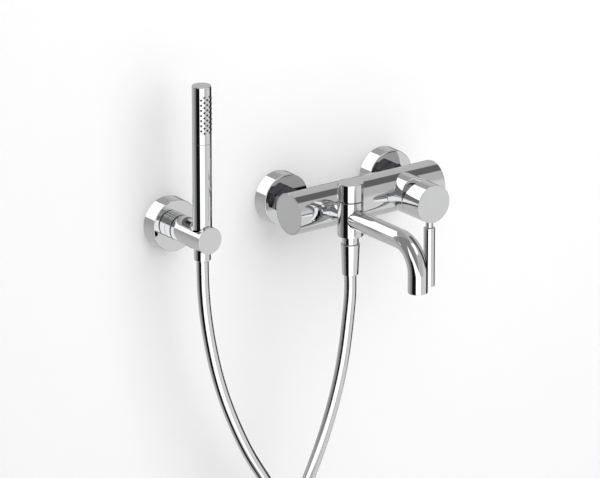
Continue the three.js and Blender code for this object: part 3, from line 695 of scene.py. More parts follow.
def dark_nickel():
    """A dark copy of the chrome for the union nuts: painted shade of the recess between the wall flange and
    the mixer body. Glossy, with slightly worn lighter patches.
    """
    nickel = Surface("dark_nickel", (0.08, 0.08, 0.085), 1, 0.16)
    wear = nickel.noise(160, 6)
    nickel.tint(wear, (0.08, 0.08, 0.085), (0.14, 0.14, 0.145))
    nickel.vary(wear, 0.06, 0.14)
    nickel.relief(nickel.noise(700), 4e-6)
    return nickel.material


def plain_steel():
    steel = Surface("plain_steel", (0.52, 0.53, 0.55), 1, 0.3)
    grain = steel.grain((60, 60, 1500), 4)
    steel.vary(grain, 0.22, 0.4)
    steel.tint(grain, (0.42, 0.43, 0.45), (0.6, 0.61, 0.63))
    steel.relief(grain, 8e-6)
    return steel.material


def turned_brass():
    brass = Surface("turned_brass", (0.72, 0.52, 0.22), 1, 0.28)
    rings = brass.grain((90, 90, 2200), 3)
    brass.vary(rings, 0.18, 0.36)
    brass.tint(brass.noise(90, 5), (0.56, 0.38, 0.15), (0.76, 0.56, 0.27))
    brass.relief(rings, 6e-6)
    return brass.material


def moulded(name, dark, light, roughness, grain_depth=1.2e-5):
    """Moulded plastic, rubber or ceramic: a fine grain and a slight change of shade."""
    made = Surface(name, light, 0, roughness)
    made.tint(made.noise(140, 4), dark, light)
    grain = made.noise(1800)
    made.vary(grain, roughness - 0.06, roughness + 0.08)
    made.relief(grain, grain_depth)
    return made.material


def silver_hose():
    """A metallised liner under a clear smooth cover, with a faint spiral of reinforcement."""
    liner = Surface("silver_hose", (0.68, 0.682, 0.687), 1, 0.07)
    around = liner.add("UVMap")
    around.uv_map = "around"
    spiral = liner.add("TexWave", {"Scale": 1, "Vector": around.outputs[0]})
    spiral.wave_type = "BANDS"
    spiral.bands_direction = "X"
    liner.vary(spiral.outputs["Fac"], 0.04, 0.06)
    liner.tint(spiral.outputs["Fac"], (0.67, 0.672, 0.677), (0.685, 0.687, 0.692))
    liner.set("Coat Weight", 0.2)
    liner.set("Coat Roughness", 0.03)
    return liner.material


def painted_wall():
    """Smooth pale plaster, seen from the room side only."""
    wall = Surface("pale_wall", (0.92, 0.92, 0.92), 0, 0.9)
    wall.tint(wall.noise(2), (0.915, 0.915, 0.915), (0.925, 0.925, 0.925))
    wall.relief(wall.noise(400), 2e-5)
    wall.set("Specular IOR Level", 0.1)
    see_through = wall.add("BsdfTransparent").outputs[0]
    behind = wall.add("NewGeometry").outputs["Backfacing"]
    choose = wall.add("MixShader", {"Fac": behind})
    feed(wall.tree, choose.inputs[1], wall.shader.outputs[0])
    feed(wall.tree, choose.inputs[2], see_through)
    feed(wall.tree, wall.tree.nodes["Material Output"].inputs["Surface"], choose.outputs[0])
    return wall.material


def pale_floor():
    floor = Surface("pale_floor", (0.86, 0.86, 0.855), 0, 0.7)
    floor.tint(floor.noise(6, 5), (0.85, 0.85, 0.845), (0.87, 0.87, 0.865))
    floor.relief(floor.noise(120, 4), 3e-5)
    return floor.material


MATERIALS = {
    "chrome": chrome_plate(),
    # the union nuts' dark chrome is painted shade of the recess they sit in
    "dark_nickel": dark_nickel(),
    "brass": turned_brass(),
    "steel": plain_steel(),
    "ceramic": moulded("lapped_ceramic", (0.84, 0.82, 0.78), (0.9, 0.88, 0.84), 0.2, 2e-6),
    "grey_plastic": moulded("grey_plastic", (0.36, 0.38, 0.4), (0.44, 0.46, 0.48), 0.45),
    "white_plastic": moulded("white_plastic", (0.8, 0.8, 0.78), (0.86, 0.86, 0.84), 0.4),
    "black_rubber": moulded("black_rubber", (0.012, 0.012, 0.013), (0.024, 0.024, 0.026), 0.55),
    "nozzle_rubber": moulded("nozzle_silicone", (0.03, 0.032, 0.035), (0.055, 0.058, 0.062), 0.5),
    "hose": silver_hose(),
}


# ---------- the hose ----------
HOSE_RADIUS = 7
HOSE_STEP = 2.5
HOSE_SIDES = 28
HOSE_ROUTE = [
    (-0.052, -0.112, -0.0687),
    (-0.052, -0.112, -0.09),
    (-0.0545, -0.1117, -0.119),
    (-0.06, -0.1109, -0.162),
    (-0.0687, -0.1095, -0.205),
    (-0.0808, -0.1075, -0.247),
    (-0.0962, -0.105, -0.289),
    (-0.124, -0.1015, -0.35),
    (-0.154, -0.0985, -0.416),
    (-0.182, -0.096, -0.482),
    (-0.1895, -0.0945, -0.518),
    (-0.18, -0.093, -0.555),
    (-0.152, -0.092, -0.583),
    (-0.114, -0.091, -0.593),
    (-0.076, -0.09, -0.583),
    (-0.048, -0.089, -0.555),
    (-0.0385, -0.0875, -0.518),
    (-0.049, -0.086, -0.476),
    (-0.0865, -0.0835, -0.412),
    (-0.126, -0.0813, -0.349),
    (-0.1525, -0.0803, -0.304),
    (-0.1667, -0.0791, -0.2806),
    (-0.1902, -0.0768, -0.232),
    (-0.2074, -0.0749, -0.185),
    (-0.219, -0.0735, -0.139),
    (-0.2264, -0.0725, -0.094),
    (-0.2296, -0.072, -0.052),
    (-0.23, -0.072, -0.0259),
]


def smooth_line(route, start_slope, end_slope):
    """The curve of continuous curvature through the route's points, as a function of the distance
    along its chords, and that distance at its end."""
    points = np.array(route, float)
    chords = np.linalg.norm(np.diff(points, axis=0), axis=1)
    knots = np.concatenate(([0], np.cumsum(chords)))
    count = len(points)
    matrix = np.eye(count)
    wanted = np.zeros((count, 3))
    wanted[0], wanted[-1] = start_slope, end_slope
    for i in range(1, count - 1):
        before, after = chords[i - 1], chords[i]
        matrix[i, i - 1 : i + 2] = after, 2 * (before + after), before
        arriving = (points[i] - points[i - 1]) * after / before
        leaving = (points[i + 1] - points[i]) * before / after
        wanted[i] = 3 * (arriving + leaving)
    slopes = np.linalg.solve(matrix, wanted)

    def at(distance):
        i = int(np.clip(np.searchsorted(knots, distance) - 1, 0, count - 2))
        h = chords[i]
        t = (distance - knots[i]) / h
        start = (1 + 2 * t) * (1 - t) ** 2 * points[i] + t * (1 - t) ** 2 * h * slopes[i]
        end = t * t * (3 - 2 * t) * points[i + 1] + t * t * (t - 1) * h * slopes[i + 1]
        return start + end

    return at, knots[-1]


def hose_line():
    """Points along the hose's centre line in millimetres, evenly spaced."""
    route = np.array(HOSE_ROUTE) / MM
    at, reach = smooth_line(route, (0, 0, -1), (0, 0, 1))
    fine = np.array([at(d) for d in np.linspace(0, reach, 4000)])
    travelled = np.concatenate(([0], np.cumsum(np.linalg.norm(np.diff(fine, axis=0), axis=1))))
    count = round(travelled[-1] / HOSE_STEP)
    wanted = np.linspace(0, travelled[-1], count + 1)
    line = np.stack([np.interp(wanted, travelled, fine[:, i]) for i in range(3)], axis=1)
    return line, wanted


def along_line(line, distances):
    """A bent axis through the points of a line, with sides that don't twist around it."""
    tangents = np.gradient(line, axis=0)
    tangents /= np.linalg.norm(tangents, axis=1)[:, None]
    sides = [np.array((0.0, -1.0, 0.0))]
    for tangent in tangents[1:]:
        side = sides[-1] - tangent * (sides[-1] @ tangent)
        sides.append(side / np.linalg.norm(side))

    def frame_at(distance):
        i = int(np.clip(np.searchsorted(distances, distance), 1, len(distances) - 1))
        share = (distance - distances[i - 1]) / (distances[i] - distances[i - 1])
        origin = line[i - 1] + share * (line[i] - line[i - 1])
        along = tangents[i - 1] + share * (tangents[i] - tangents[i - 1])
        along /= np.linalg.norm(along)
        side = sides[i - 1] + share * (sides[i] - sides[i - 1])
        side -= along * (side @ along)
        side /= np.linalg.norm(side)
        return origin, side, along

    return frame_at


SPIRAL_PITCH = 4.0
SPIRAL_TURN = 20.0


def hose_coordinates(mesh, distances, sides):
    """Stores, at each corner, how far along and around the hose it is, for the spiral pattern."""
    layer = mesh.uv_layers.new(name="around")
    rings = len(mesh.vertices) // sides
    lengths = np.interp(range(rings), (0, rings - 1), (0, distances[-1]))
    for face in mesh.polygons:
        around = [vertex % sides for vertex in face.vertices]
        wraps = max(around) - min(around) > sides / 2
        for loop, vertex, spoke in zip(face.loop_indices, face.vertices, around):
            turn = (spoke + (sides if wraps and spoke < sides / 2 else 0)) / sides
            length = lengths[min(vertex // sides, rings - 1)]
            layer.data[loop].uv = ((length / SPIRAL_PITCH + turn) * 2 * math.pi / SPIRAL_TURN, turn)


def make_hose():
    line, distances = hose_line()
    end = distances[-1]
    corners = [(0, 0), (HOSE_RADIUS, 0, 0.3), (HOSE_RADIUS, end, 0.3), (0, end)]
    shape = turned(corners, along_line(line, distances), HOSE_SIDES, step=HOSE_STEP)
    mesh = mesh_from("hose", shape, False)
    hose_coordinates(mesh, distances, HOSE_SIDES)
    piece = fine_piece("hose", mesh)
    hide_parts("hose")
    bend_with_shower(piece)


def bend_with_shower(piece):
    """Bakes the hose's placement into its mesh."""
    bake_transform(piece)


# ---------- wall side: unions, flanges and nuts ----------
SUPPLIES = ("hot", "cold")
UNION_DROP = 8  # the wall thread sits this far below the mixer's inlet
PIPE_PITCH = 1.814
FLANGE_WALL = 1.5


def wall_flange(node, hole):
    where = Extent(node)
    depth, inside = where.far_out, where.radius - FLANGE_WALL
    cup = [
        (where.radius, 0, 0.3), (where.radius, depth, 0.9),
        (hole, depth, 0.4), (hole, depth - FLANGE_WALL, 0.2),
        (inside, depth - FLANGE_WALL, 0.6), (inside, 0, 0.3),
    ]
    stand_in(node, lathe("out", where.behind, cup))


def eccentric_union(node):
    where = Extent(node)
    low, middle, high = ((where.x, 0, -drop) for drop in (UNION_DROP, UNION_DROP / 2, 0))
    shoulder = (2, 9)
    inside = sum(shoulder) / 2
    collar, tail, inlet, outlet = 19, 13, 6.5, 8
    thread_root, thread_crest = 9.3, 10.4
    body = joined(
        rod("out", collar, *shoulder, middle, edge=0.6),
        threaded("out", thread_root, thread_crest, PIPE_PITCH, where.near_out, inside, low),
        rod("out", tail, inside, where.far_out, high, edge=0.5),
    )
    body = cut(
        body,
        rod("out", inlet, where.near_out - 1, inside + 1, low),
        rod("out", outlet, inside - 1, where.far_out + 1, high),
    )
    stand_in(node, polished(body, ("out", high, tail, outlet), ("out", low, inlet), ("out", middle, collar)))


def union_nut(node):
    where = Extent(node)
    at, near, far = where.behind, where.near_out, where.far_out
    corner, chamfer = where.height / 2, 1.6
    thread, neck, lip = 13.6, 10.45, far - 3.3
    chamfered = [
        (0, near),
        (corner - chamfer, near, 0.2),
        (corner, near + chamfer, 0.4), (corner, far - chamfer, 0.4),
        (corner - chamfer, far, 0.2),
        (0, far),
    ]
    nut = shared(hexagon("out", corner, near, far, at), lathe("out", at, chamfered))
    nut = cut(nut, rod("out", thread, near - 1, lip, at), rod("out", neck, lip - 1, far + 1, at))
    stand_in(node, polished(nut, ("out", at, thread, neck)))


# ---------- mixer body and cartridge cover ----------
ON_HANDLE = Extent("handle_drum").behind
COLLAR_SLOPE = math.tan(math.radians(14.3))
HANDLE_SLOPE = math.tan(math.radians(19.5))
COLLAR_LEANS_FROM = 95  # how far out the collar's upper half starts to lean back
DRUM_LEANS_TO = 105  # and how far out the drum's stops leaning
CAP_SEAM = 0.1
BARREL_BORE = 20
CHAMBER_RADIUS = 17.8
CHAMBER_FLOOR = 67
NUT_THREAD_RADIUS = 20.8
NUT_SEAT_OUT = 88.4


def barrel_end(end, inwards, radius, recess):
    """Half of the barrel's profile: a deep bore, the cap's recess and the rim."""
    recess_end, bore_end = end + inwards * 4, end + inwards * 11
    return [
        (0, bore_end),
        (BARREL_BORE, bore_end), (BARREL_BORE, recess_end),
        (recess, recess_end), (recess, end, 0.12),
        (radius, end, 0.35),
    ]


def mixer_body():
    where, caps = Extent("mixer_body"), Extent("left_end_cap")
    drum, neck = Extent("handle_drum"), Extent("neck_tube")
    radius, axis_out = where.height / 2, -caps.y
    at = (0, -axis_out, 0)
    recess = caps.height / 2 + CAP_SEAM
    left_end = barrel_end(where.left, 1, radius, recess)
    right_end = barrel_end(where.right, -1, radius, recess)
    barrel = lathe("x", at, left_end + right_end[::-1])
    collar = rod("out", drum.radius, axis_out, where.far_out, ON_HANDLE, edge=0.35)
    stub, stub_collar, stub_end = 10.2, 12.8, 47
    back, ledge = where.near_out, where.near_out + 1.9
    profile = [
        (0, back),
        (stub_collar, back), (stub_collar, ledge),
        (stub, ledge), (stub, stub_end),
        (0, stub_end),
    ]
    inlets = [Extent(side + "_union_nut").behind for side in SUPPLIES]
    mouth = where.far_out + 5
    chamber = [
        (0, CHAMBER_FLOOR),
        (CHAMBER_RADIUS, CHAMBER_FLOOR), (CHAMBER_RADIUS, NUT_SEAT_OUT),
        (NUT_THREAD_RADIUS, NUT_SEAT_OUT), (NUT_THREAD_RADIUS, mouth),
        (0, mouth),
    ]
    socket = neck.radius + SLIDING_FIT
    body = cut(
        joined(
            barrel,
            leaning(collar, COLLAR_LEANS_FROM, COLLAR_SLOPE),
            *[lathe("out", inlet, profile) for inlet in inlets],
        ),
        lathe("out", ON_HANDLE, chamber),
        rod("out", socket, neck.near_out - FRAME_GAP, axis_out + radius + 1, neck.behind),
    )
    rounds = [
        ("x", at, radius, recess, BARREL_BORE),
        ("out", ON_HANDLE, drum.radius, NUT_THREAD_RADIUS, CHAMBER_RADIUS),
        ("out", neck.behind, socket),
        *[("out", inlet, stub, stub_collar) for inlet in inlets],
    ]
    stand_in("mixer_body", polished(body, *rounds))


def end_cap(node):
    where = Extent(node)
    side = 1 if where.x > 0 else -1
    end = where.right if side > 0 else where.left
    shoulder, inner = end - side * 3.7, end - side * where.width
    radius, spigot = where.height / 2, 19.7
    corners = [
        (0, inner),
        (spigot, inner, 0.6), (spigot, shoulder, 0.1),
        (radius, shoulder), (radius, end, 0.15),
        (0, end),
    ]
    stand_in(node, lathe("x", (0, where.y, 0), corners))


def cartridge_cover():
    where = Extent("cartridge_cover")
    hole, near, far = 9.3, where.near_out, where.far_out
    corners = [(hole, near), (where.radius, near), (where.radius, far, 0.3), (hole, far, 0.6)]
    cover = lathe("out", where.behind, corners)
    stand_in("cartridge_cover", leaning(cover, near + 3, COLLAR_SLOPE))


# ---------- handle ----------
def handle():
    drum, pin, lever = Extent("handle_drum"), Extent("lever_pin"), Extent("lever_rod")
    screw, bar = Extent("handle_grub_screw"), Extent("cartridge_lever")
    cavity, cavity_floor = drum.radius - 4, 112
    corners = [
        (0, cavity_floor),
        (cavity, cavity_floor, 1), (cavity, drum.near_out, 0.3),
        (drum.radius, drum.near_out, 0.35), (drum.radius, drum.far_out, 0.5),
        (0, drum.far_out),
    ]
    on_pin, on_screw = (drum.x, pin.y, 0), (drum.x, screw.y, 0)
    shell = leaning(lathe("out", ON_HANDLE, corners), -DRUM_LEANS_TO, HANDLE_SLOPE)
    half = bar.height / 2 + 0.2
    square = [(-half, -half), (half, -half), (half, half), (-half, half)]
    pin_hole, screw_hole = pin.radius + CLOSE_FIT, screw.radius + FRAME_GAP
    below = drum.bottom - 1
    shell = cut(
        shell,
        extruded("out", square, cavity_floor - 1, bar.far_out + 0.7, ON_HANDLE),
        rod("z", pin_hole, below, pin.top + FRAME_GAP, on_pin, sides=SMALL_SIDES),
        rod("z", screw_hole, below, -half + 0.5, on_screw, sides=SMALL_SIDES),
    )
    shell = polished(
        shell,
        ("out", ON_HANDLE, drum.radius, cavity),
        ("z", on_pin, pin_hole),
        ("z", on_screw, screw_hole),
    )
    stand_in("handle_drum", shell)
    stand_in("lever_pin", rod("z", pin.radius, pin.bottom, pin.top, on_pin, 0.3))
    hole_end = pin.bottom - FRAME_GAP
    sleeve = [
        (0, lever.bottom),
        (lever.radius, lever.bottom, 0.6), (lever.radius, lever.top, 0.5),
        (pin_hole, lever.top, 0.2), (pin_hole, hole_end),
        (0, hole_end),
    ]
    stand_in("lever_rod", lathe("z", on_pin, sleeve))


# ---------- turret: neck, diverter body, knob and spout ----------
SPOUT_SOCKET = 11.5 + SLIDING_FIT
SPOUT_BEND = 33


def turret():
    body, neck = Extent("diverter_body"), Extent("neck_tube")
    at, top = body.upright, body.top - SEAM
    neck_socket = neck.radius + SLIDING_FIT
    stand_in("neck_tube", rod("out", neck.radius, neck.near_out, neck.far_out, neck.behind, bore=7))
    nipple, bore, outlet, floor, step = 7.8, 9, 5, -9, -12
    corners = [
        (nipple, body.bottom, 0.15),
        (body.radius, body.bottom, 0.45), (body.radius, top, 0.2),
        (bore, top, 0.2), (bore, floor),
        (outlet, floor), (outlet, step),
        (nipple, step),
    ]
    shell = cut(
        lathe("z", at, corners),
        rod("out", neck_socket, -body.radius - 1, -bore, at),
        rod("out", SPOUT_SOCKET, bore, body.radius + 1, at),
    )
    rounds = [("z", at, body.radius, bore, outlet, nipple), ("out", at, neck_socket, SPOUT_SOCKET)]
    stand_in("diverter_body", polished(shell, *rounds))
    diverter_knob(at)


def diverter_knob(at):
    knob, screw = Extent("diverter_knob"), Extent("knob_grub_screw")
    low = knob.bottom + SEAM
    hollow, hollow_top, spindle, spindle_top = 12, 30, 5.1, 35.3
    corners = [
        (0, knob.top),
        (knob.radius, knob.top, 0.6), (knob.radius, low, 0.2),
        (hollow, low, 0.2), (hollow, hollow_top),
        (spindle, hollow_top), (spindle, spindle_top),
        (0, spindle_top),
    ]
    screw_hole, on_screw = 2.2, (knob.x, knob.y, screw.z)
    cap = cut(
        lathe("z", at, corners),
        rod("out", screw_hole, -knob.radius - 1, -spindle, on_screw, sides=SMALL_SIDES),
    )
    rounds = [("z", at, knob.radius, hollow, spindle), ("out", on_screw, screw_hole)]
    stand_in("diverter_knob", polished(cap, *rounds))


def spout_line(spout, outlet):
    """The spout's centre line: straight out, a quarter bend, then straight down."""
    level = -outlet.y - SPOUT_BEND - spout.near_out
    bend = SPOUT_BEND * math.pi / 2
    fall = -spout.bottom - SPOUT_BEND

    def frame_at(distance):
        turn = min(max((distance - level) / SPOUT_BEND, 0), math.pi / 2)
        along = np.array((0, -math.cos(turn), -math.sin(turn)))
        out = spout.near_out + min(distance, level) + SPOUT_BEND * math.sin(turn)
        drop = SPOUT_BEND * (1 - math.cos(turn)) + max(distance - level - bend, 0)
        side = np.array((1.0, 0.0, 0.0))
        return np.array((spout.x, -out, -drop)), side, along

    return frame_at, level + bend + fall


def spout():
    tube, outlet = Extent("spout"), Extent("aerator_housing")
    path, length = spout_line(tube, outlet)
    bore, seat, seat_end = 9.3, outlet.radius + CLOSE_FIT, length - 12
    corners = [
        (bore, 0),
        (tube.radius, 0, 0.2), (tube.radius, length, 0.4),
        (seat, length, 0.25), (seat, seat_end),
        (bore, seat_end),
    ]
    stand_in("spout", turned(corners, path, step=1.2))
    at = outlet.upright
    lip = rod("z", outlet.radius, outlet.bottom, outlet.top, at, 0.35, bore=8.35)
    stand_in("aerator_housing", lip)
    aerator_insert(at)


def aerator_insert(at):
    """A honeycomb of 19 round holes."""
    insert = Extent("aerator_insert")
    pitch, hole = 2.9, 1.05
    holes = []
    for row in range(-2, 3):
        for column in range(5 - abs(row)):
            across = pitch * (column - (4 - abs(row)) / 2)
            along = pitch * row * math.sin(math.pi / 3)
            spot = (at[0] + across, at[1] + along, 0)
            holes.append(rod("z", hole, insert.bottom - 1, insert.top + 1, spot, sides=24))
    grid = cut(rod("z", insert.radius, insert.bottom, insert.top, at, 0.4), together(holes))
    stand_in("aerator_insert", polished(grid, ("z", at, insert.radius)))


# ---------- hose connections ----------
HOSE_HOLE = 5.9


def hose_outlet():
    nipple, nut = Extent("outlet_nipple"), Extent("mixer_hose_nut")
    collar_top = Extent("diverter_body").bottom - FRAME_GAP
    collar_bottom = nut.top + FRAME_GAP
    socket, thread, bore, tail_bore, tail_top = 7.5, 8.6, 3.2, 5.5, -24
    corners = [
        (bore, nipple.top),
        (socket, nipple.top), (socket, collar_top),
        (nipple.radius, collar_top, 0.25), (nipple.radius, collar_bottom, 0.25),
        (thread, collar_bottom), (thread, nipple.bottom, 0.5),
        (tail_bore, nipple.bottom), (tail_bore, tail_top),
        (bore, tail_top),
    ]
    stand_in("outlet_nipple", lathe("z", nipple.upright, corners))
    bottom, thread_end, threads = nut.bottom - SEAM_CLOSE, -52, 8.9
    corners = [
        (threads, nut.top, 0.2),
        (nut.radius, nut.top, 0.5),
        (nut.radius - 1.6, bottom, 0.5),
        (HOSE_HOLE, bottom, 0.2), (HOSE_HOLE, thread_end),
        (threads, thread_end),
    ]
    stand_in("mixer_hose_nut", lathe("z", nipple.upright, corners))


def shower_nut():
    nut = Extent("shower_hose_nut")
    top, bottom = nut.top + SEAM_CLOSE, nut.bottom - SEAM_CLOSE
    threads, thread_end = 7.6, -21.3
    corners = [
        (threads, top, 0.2),
        (nut.radius, top, 0.4), (nut.radius, bottom, 0.8),
        (HOSE_HOLE, bottom, 0.2), (HOSE_HOLE, thread_end),
        (threads, thread_end),
    ]
    stand_in("shower_hose_nut", lathe("z", nut.upright, corners))


def spring_line(radius, low, high, turns, at):
    """A helix upwards: its frames by the distance along it, and its length round one turn."""
    pitch = (high - low) / turns
    around = 2 * math.pi * radius
    once_round = math.hypot(around, pitch)

    def frame_at(distance):
        share = distance / once_round
        turn = 2 * math.pi * share
        outward = np.array((math.cos(turn), math.sin(turn), 0.0))
        along = np.array((-math.sin(turn) * around, math.cos(turn) * around, pitch)) / once_round
        origin = np.array((at[0], at[1], low + pitch * share)) + outward * radius
        return origin, outward, along

    return frame_at, once_round


def valve_spring():
    """The check valve's spring."""
    where, poppet = Extent("check_valve_spring"), Extent("check_valve_poppet")
    coil, wire, turns, sides = 2.6, 0.25, 4, 12
    low, high = where.bottom + wire, where.top - wire
    path, once_round = spring_line(coil, low, high, turns, poppet.upright)
    end = turns * once_round
    shape = turned([(0, 0), (wire, 0), (wire, end), (0, end)], path, sides, step=once_round / 24)
    piece = fine_piece("check_valve_spring", mesh_from("check_valve_spring", shape, False))
    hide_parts("check_valve_spring")
    foot, top = [(poppet.x * MM, poppet.y * MM, height * MM) for height in (low, high)]
    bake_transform(piece)
    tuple(foot)
    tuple(top)


# ---------- hand shower ----------
NOZZLE_ROWS = 8
NOZZLE_PITCH = 6
NOZZLE_COLUMN_ANGLE = math.radians(19)
NOZZLE_RADIUS = 1.1
NOZZLES_BELOW_TOP = 32.4
STICK_OUT = 72
STICK_WALL = 1.3
STICK_SEAM = 113
CAP_HEIGHT = 2.2
HAIRLINE = 0.03


def slanted(angle, at):
    """An axis that points to the room, turned about Z by an angle."""
    along = np.array((math.sin(angle), -math.cos(angle), 0.0))
    side = np.array((math.cos(angle), math.sin(angle), 0.0))
    at = np.array(at, float)
    return lambda distance: (at + along * distance, side, along)


def nozzles(corners, middle):
    """The same small turned shape at each nozzle: five columns, every second one staggered."""
    made = []
    for column in range(-2, 3):
        rows = NOZZLE_ROWS - 1 if column % 2 == 0 else NOZZLE_ROWS
        for row in range(rows):
            height = middle[2] + (row - (rows - 1) / 2) * NOZZLE_PITCH
            path = slanted(column * NOZZLE_COLUMN_ANGLE, (middle[0], middle[1], height))
            made.append(turned(corners, path, 24))
    return together(made)


def hand_shower():
    handle_tube, head = Extent("shower_handle_tube"), Extent("shower_head_tube")
    cap = Extent("shower_top_cap")
    radius, bore = head.radius, head.radius - STICK_WALL
    at = (head.x, handle_tube.y, 0)
    below_seam, above_seam = STICK_SEAM - SEAM / 2, STICK_SEAM + SEAM / 2
    corners = [
        (bore, handle_tube.bottom, 0.3),
        (radius, handle_tube.bottom, 0.4), (radius, below_seam, 0.08),
        (bore, below_seam, 0.2),
    ]
    stand_in("shower_handle_tube", lathe("z", at, corners))

    middle = (head.x, handle_tube.y, cap.top - NOZZLES_BELOW_TOP)
    hole = NOZZLE_RADIUS + 0.22
    punch = [(0, bore - 1), (hole, bore - 1, 0.05), (hole, radius + 1, 0.05), (0, radius + 1)]
    rim = cap.top - CAP_HEIGHT
    corners = [
        (bore, above_seam, 0.2),
        (radius, above_seam, 0.08), (radius, rim - HAIRLINE, 0.05),
        (bore, rim - HAIRLINE, 0.2),
    ]
    tube = cut(lathe("z", at, corners), nozzles(punch, middle))
    stand_in("shower_head_tube", polished(tube, ("z", at, radius, bore)))

    low, spigot, hollow = rim + HAIRLINE, bore - FRAME_GAP, 7.5
    corners = [
        (0, cap.top),
        (radius, cap.top, 0.5), (radius, low, 0.05),
        (spigot, low, 0.05), (spigot, cap.bottom, 0.3),
        (hollow, cap.bottom, 0.3), (hollow, low),
        (0, low),
    ]
    stand_in("shower_top_cap", lathe("z", at, corners))
    nozzle_insert(at, middle, radius, bore)


def nozzle_insert(at, middle, radius, bore):
    """The soft sleeve inside the head, with its nozzles through the head's holes."""
    insert = Extent("nozzle_insert")
    tip, pit = insert.far_out - STICK_OUT, radius - 0.6
    nub = [
        (0, bore - 1),
        (NOZZLE_RADIUS, bore - 1), (NOZZLE_RADIUS, tip, 0.55),
        (0.38, tip, 0.15), (0.38, pit),
        (0, pit),
    ]
    outside, inside = bore - FRAME_GAP, 8.2
    sleeve = rod("z", outside, insert.bottom, insert.top, at, bore=inside)
    stand_in("nozzle_insert", polished(joined(sleeve, nozzles(nub, middle)), ("z", at, outside, inside)))


# ---------- wall holder ----------
BOSS_RADIUS = 9
BOSS_END = 28
SPIGOT_RADIUS = 10.6


def holder_plate(at):
    """The hidden plate, drilled and sunk for its two screws."""
    plate, depth = Extent("holder_wall_plate"), 4
    corners = [
        (0, 0),
        (plate.radius, 0, 0.3), (plate.radius, depth, 0.6),
        (BOSS_RADIUS, depth, 0.5), (BOSS_RADIUS, BOSS_END, 0.4),
        (0, BOSS_END),
    ]
    shank, head, seat = 2.3, 4.3, 2
    sink = [(0, -1), (shank, -1), (shank, seat), (head, seat), (head, depth + 1), (0, depth + 1)]
    screws = [(at[0], 0, Extent(node).z) for node in ("holder_upper_screw", "holder_lower_screw")]
    drilled = cut(
        lathe("out", at, corners),
        *[lathe("out", screw, sink, SMALL_SIDES) for screw in screws],
    )
    stand_in("holder_wall_plate", polished(drilled, ("out", at, plate.radius, BOSS_RADIUS)))


def holder_base(at):
    base, seam = Extent("holder_base"), 30
    near = Extent("holder_wall_flange").far_out + 0.1
    hollow, hollow_end = BOSS_RADIUS + FRAME_GAP, BOSS_END + FRAME_GAP
    corners = [
        (0, base.far_out),
        (SPIGOT_RADIUS, base.far_out, 0.5), (SPIGOT_RADIUS, seam),
        (base.radius, seam - SEAM, 0.3), (base.radius, near, 0.3),
        (hollow, near), (hollow, hollow_end),
        (0, hollow_end),
    ]
    stand_in("holder_base", lathe("out", at, corners))


def holder_arm(at):
    """The arm on its base, and the liner that the hand shower stands in."""
    arm, liner, stick = Extent("holder_arm"), Extent("holder_liner"), Extent("shower_handle_tube")
    in_bore, on_screw = (arm.x, stick.y, 0), (arm.x, Extent("holder_grub_screw").y, 0)
    back_bore, back_depth = SPIGOT_RADIUS + FRAME_GAP, 45.3
    upper, lower, seat = liner.radius + CLOSE_FIT, stick.radius - 0.6, -10
    radius, screw_hole = arm.radius, 2.5
    shell = cut(
        rod("out", radius, arm.near_out + SEAM, arm.far_out, at, 0.5),
        rod("out", back_bore, arm.near_out - 1, back_depth, at),
        rod("z", upper, seat, radius + 1, in_bore, 0.1),
        rod("z", lower, -radius - 1, seat + 1, in_bore, 0.1),
        rod("z", screw_hole, -radius - 1, -SPIGOT_RADIUS, on_screw, sides=SMALL_SIDES),
    )
    rounds = [("out", at, radius, back_bore), ("z", in_bore, upper, lower), ("z", on_screw, screw_hole)]
    stand_in("holder_arm", polished(shell, *rounds))

    inner, lip, lip_top = stick.radius + 0.35, stick.radius - 0.8, stick.bottom - FRAME_GAP
    corners = [
        (lip, liner.bottom, 0.3),
        (liner.radius, liner.bottom, 0.3), (liner.radius, radius + 1),
        (inner, radius + 1), (inner, lip_top, 0.3),
        (lip, lip_top, 0.2),
    ]
    inside_arm = radius - 0.15
    sleeve = shared(
        lathe("z", in_bore, corners),
        rod("out", inside_arm, arm.near_out, arm.far_out, at),
    )
    rounds = [("z", in_bore, liner.radius, inner), ("out", at, inside_arm)]
    stand_in("holder_liner", polished(sleeve, *rounds))


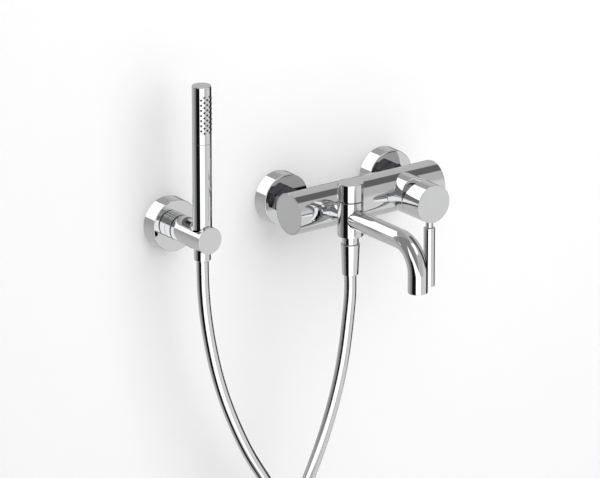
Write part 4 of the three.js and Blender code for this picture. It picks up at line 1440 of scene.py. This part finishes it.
def wall_plug(node):
    """A ribbed expanding plug."""
    where = Extent(node)
    radius, near, far = where.radius, where.near_out, where.far_out
    bore, ribs = 2.3, 9
    pitch = (far - near - 4) / ribs
    corners = [(bore, near, 0.2), (radius - 0.9, near, 0.3)]
    for i in range(ribs):
        start = near + 1 + i * pitch
        corners.append((radius - 0.7, start, 0.15))
        corners.append((radius - 0.1, start + pitch * 0.75, 0.15))
    neck, head = radius - 0.4, far - 1
    corners += [(neck, far - 2.4, 0.2), (neck, head, 0.2)]
    corners += [(radius, head, 0.2), (radius, far, 0.2), (bore, far, 0.2)]
    stand_in(node, lathe("out", (where.x, 0, where.z), corners, SMALL_SIDES))


# ---------- stage ----------
FLOOR_HEIGHT = -0.66
WALL_HALF_WIDTH = 3
WALL_TOP = 2.4
FLOOR_DEPTH = 4
WALL_BEHIND = 0.0002  # the wall stands this far behind the flanges' backs


def staged(name, low, high, material):
    """A plane of the stage between two corners, the wall upright or the floor level."""
    (left, front, bottom), (right, back, top) = low, high
    corners = [(left, front, bottom), (right, front, bottom), (right, back, top), (left, back, top)]
    mesh = bpy.data.meshes.new(name)
    mesh.from_pydata(corners, [], [(0, 1, 2, 3)])
    mesh.materials.append(material)
    plane = new_object(name, mesh)
    plane.visible_glossy = False


def studio():
    wide, floor = WALL_HALF_WIDTH, FLOOR_HEIGHT
    staged("wall", (-wide, WALL_BEHIND, floor), (wide, WALL_BEHIND, WALL_TOP), painted_wall())
    staged("floor", (-wide, -FLOOR_DEPTH, floor), (wide, 1, floor), pale_floor())
    studio_world()
    soft_light("key_light", (-0.1, -1.6, 1.4), 2.2, KEY_POWER)
    soft_light("low_light", (0.4, -1.8, 0.3), 2.0, LOW_POWER)
    bpy.context.scene.view_settings.view_transform = "Standard"


# ---------- everything ----------
def finish_frame_nodes():
    """Every piece that keeps its plain solid gets its slot's procedural material."""
    for node, piece in frame["nodes"].items():
        piece.data.materials.clear()
        piece.data.materials.append(MATERIALS[SLOT_OF[node]])


place_camera()
finish_frame_nodes()
make_hose()
for supply in SUPPLIES:
    eccentric_union(supply + "_eccentric_union")
    wall_flange(supply + "_wall_flange", 13.6)
    union_nut(supply + "_union_nut")
wall_flange("holder_wall_flange", 9.6)
mixer_body()
end_cap("left_end_cap")
end_cap("right_end_cap")
cartridge_cover()
handle()
turret()
spout()
hose_outlet()
valve_spring()
shower_nut()
hand_shower()
holder_axis = Extent("holder_base").behind
holder_plate(holder_axis)
holder_base(holder_axis)
holder_arm(holder_axis)
wall_plug("holder_upper_wall_plug")
wall_plug("holder_lower_wall_plug")
studio()
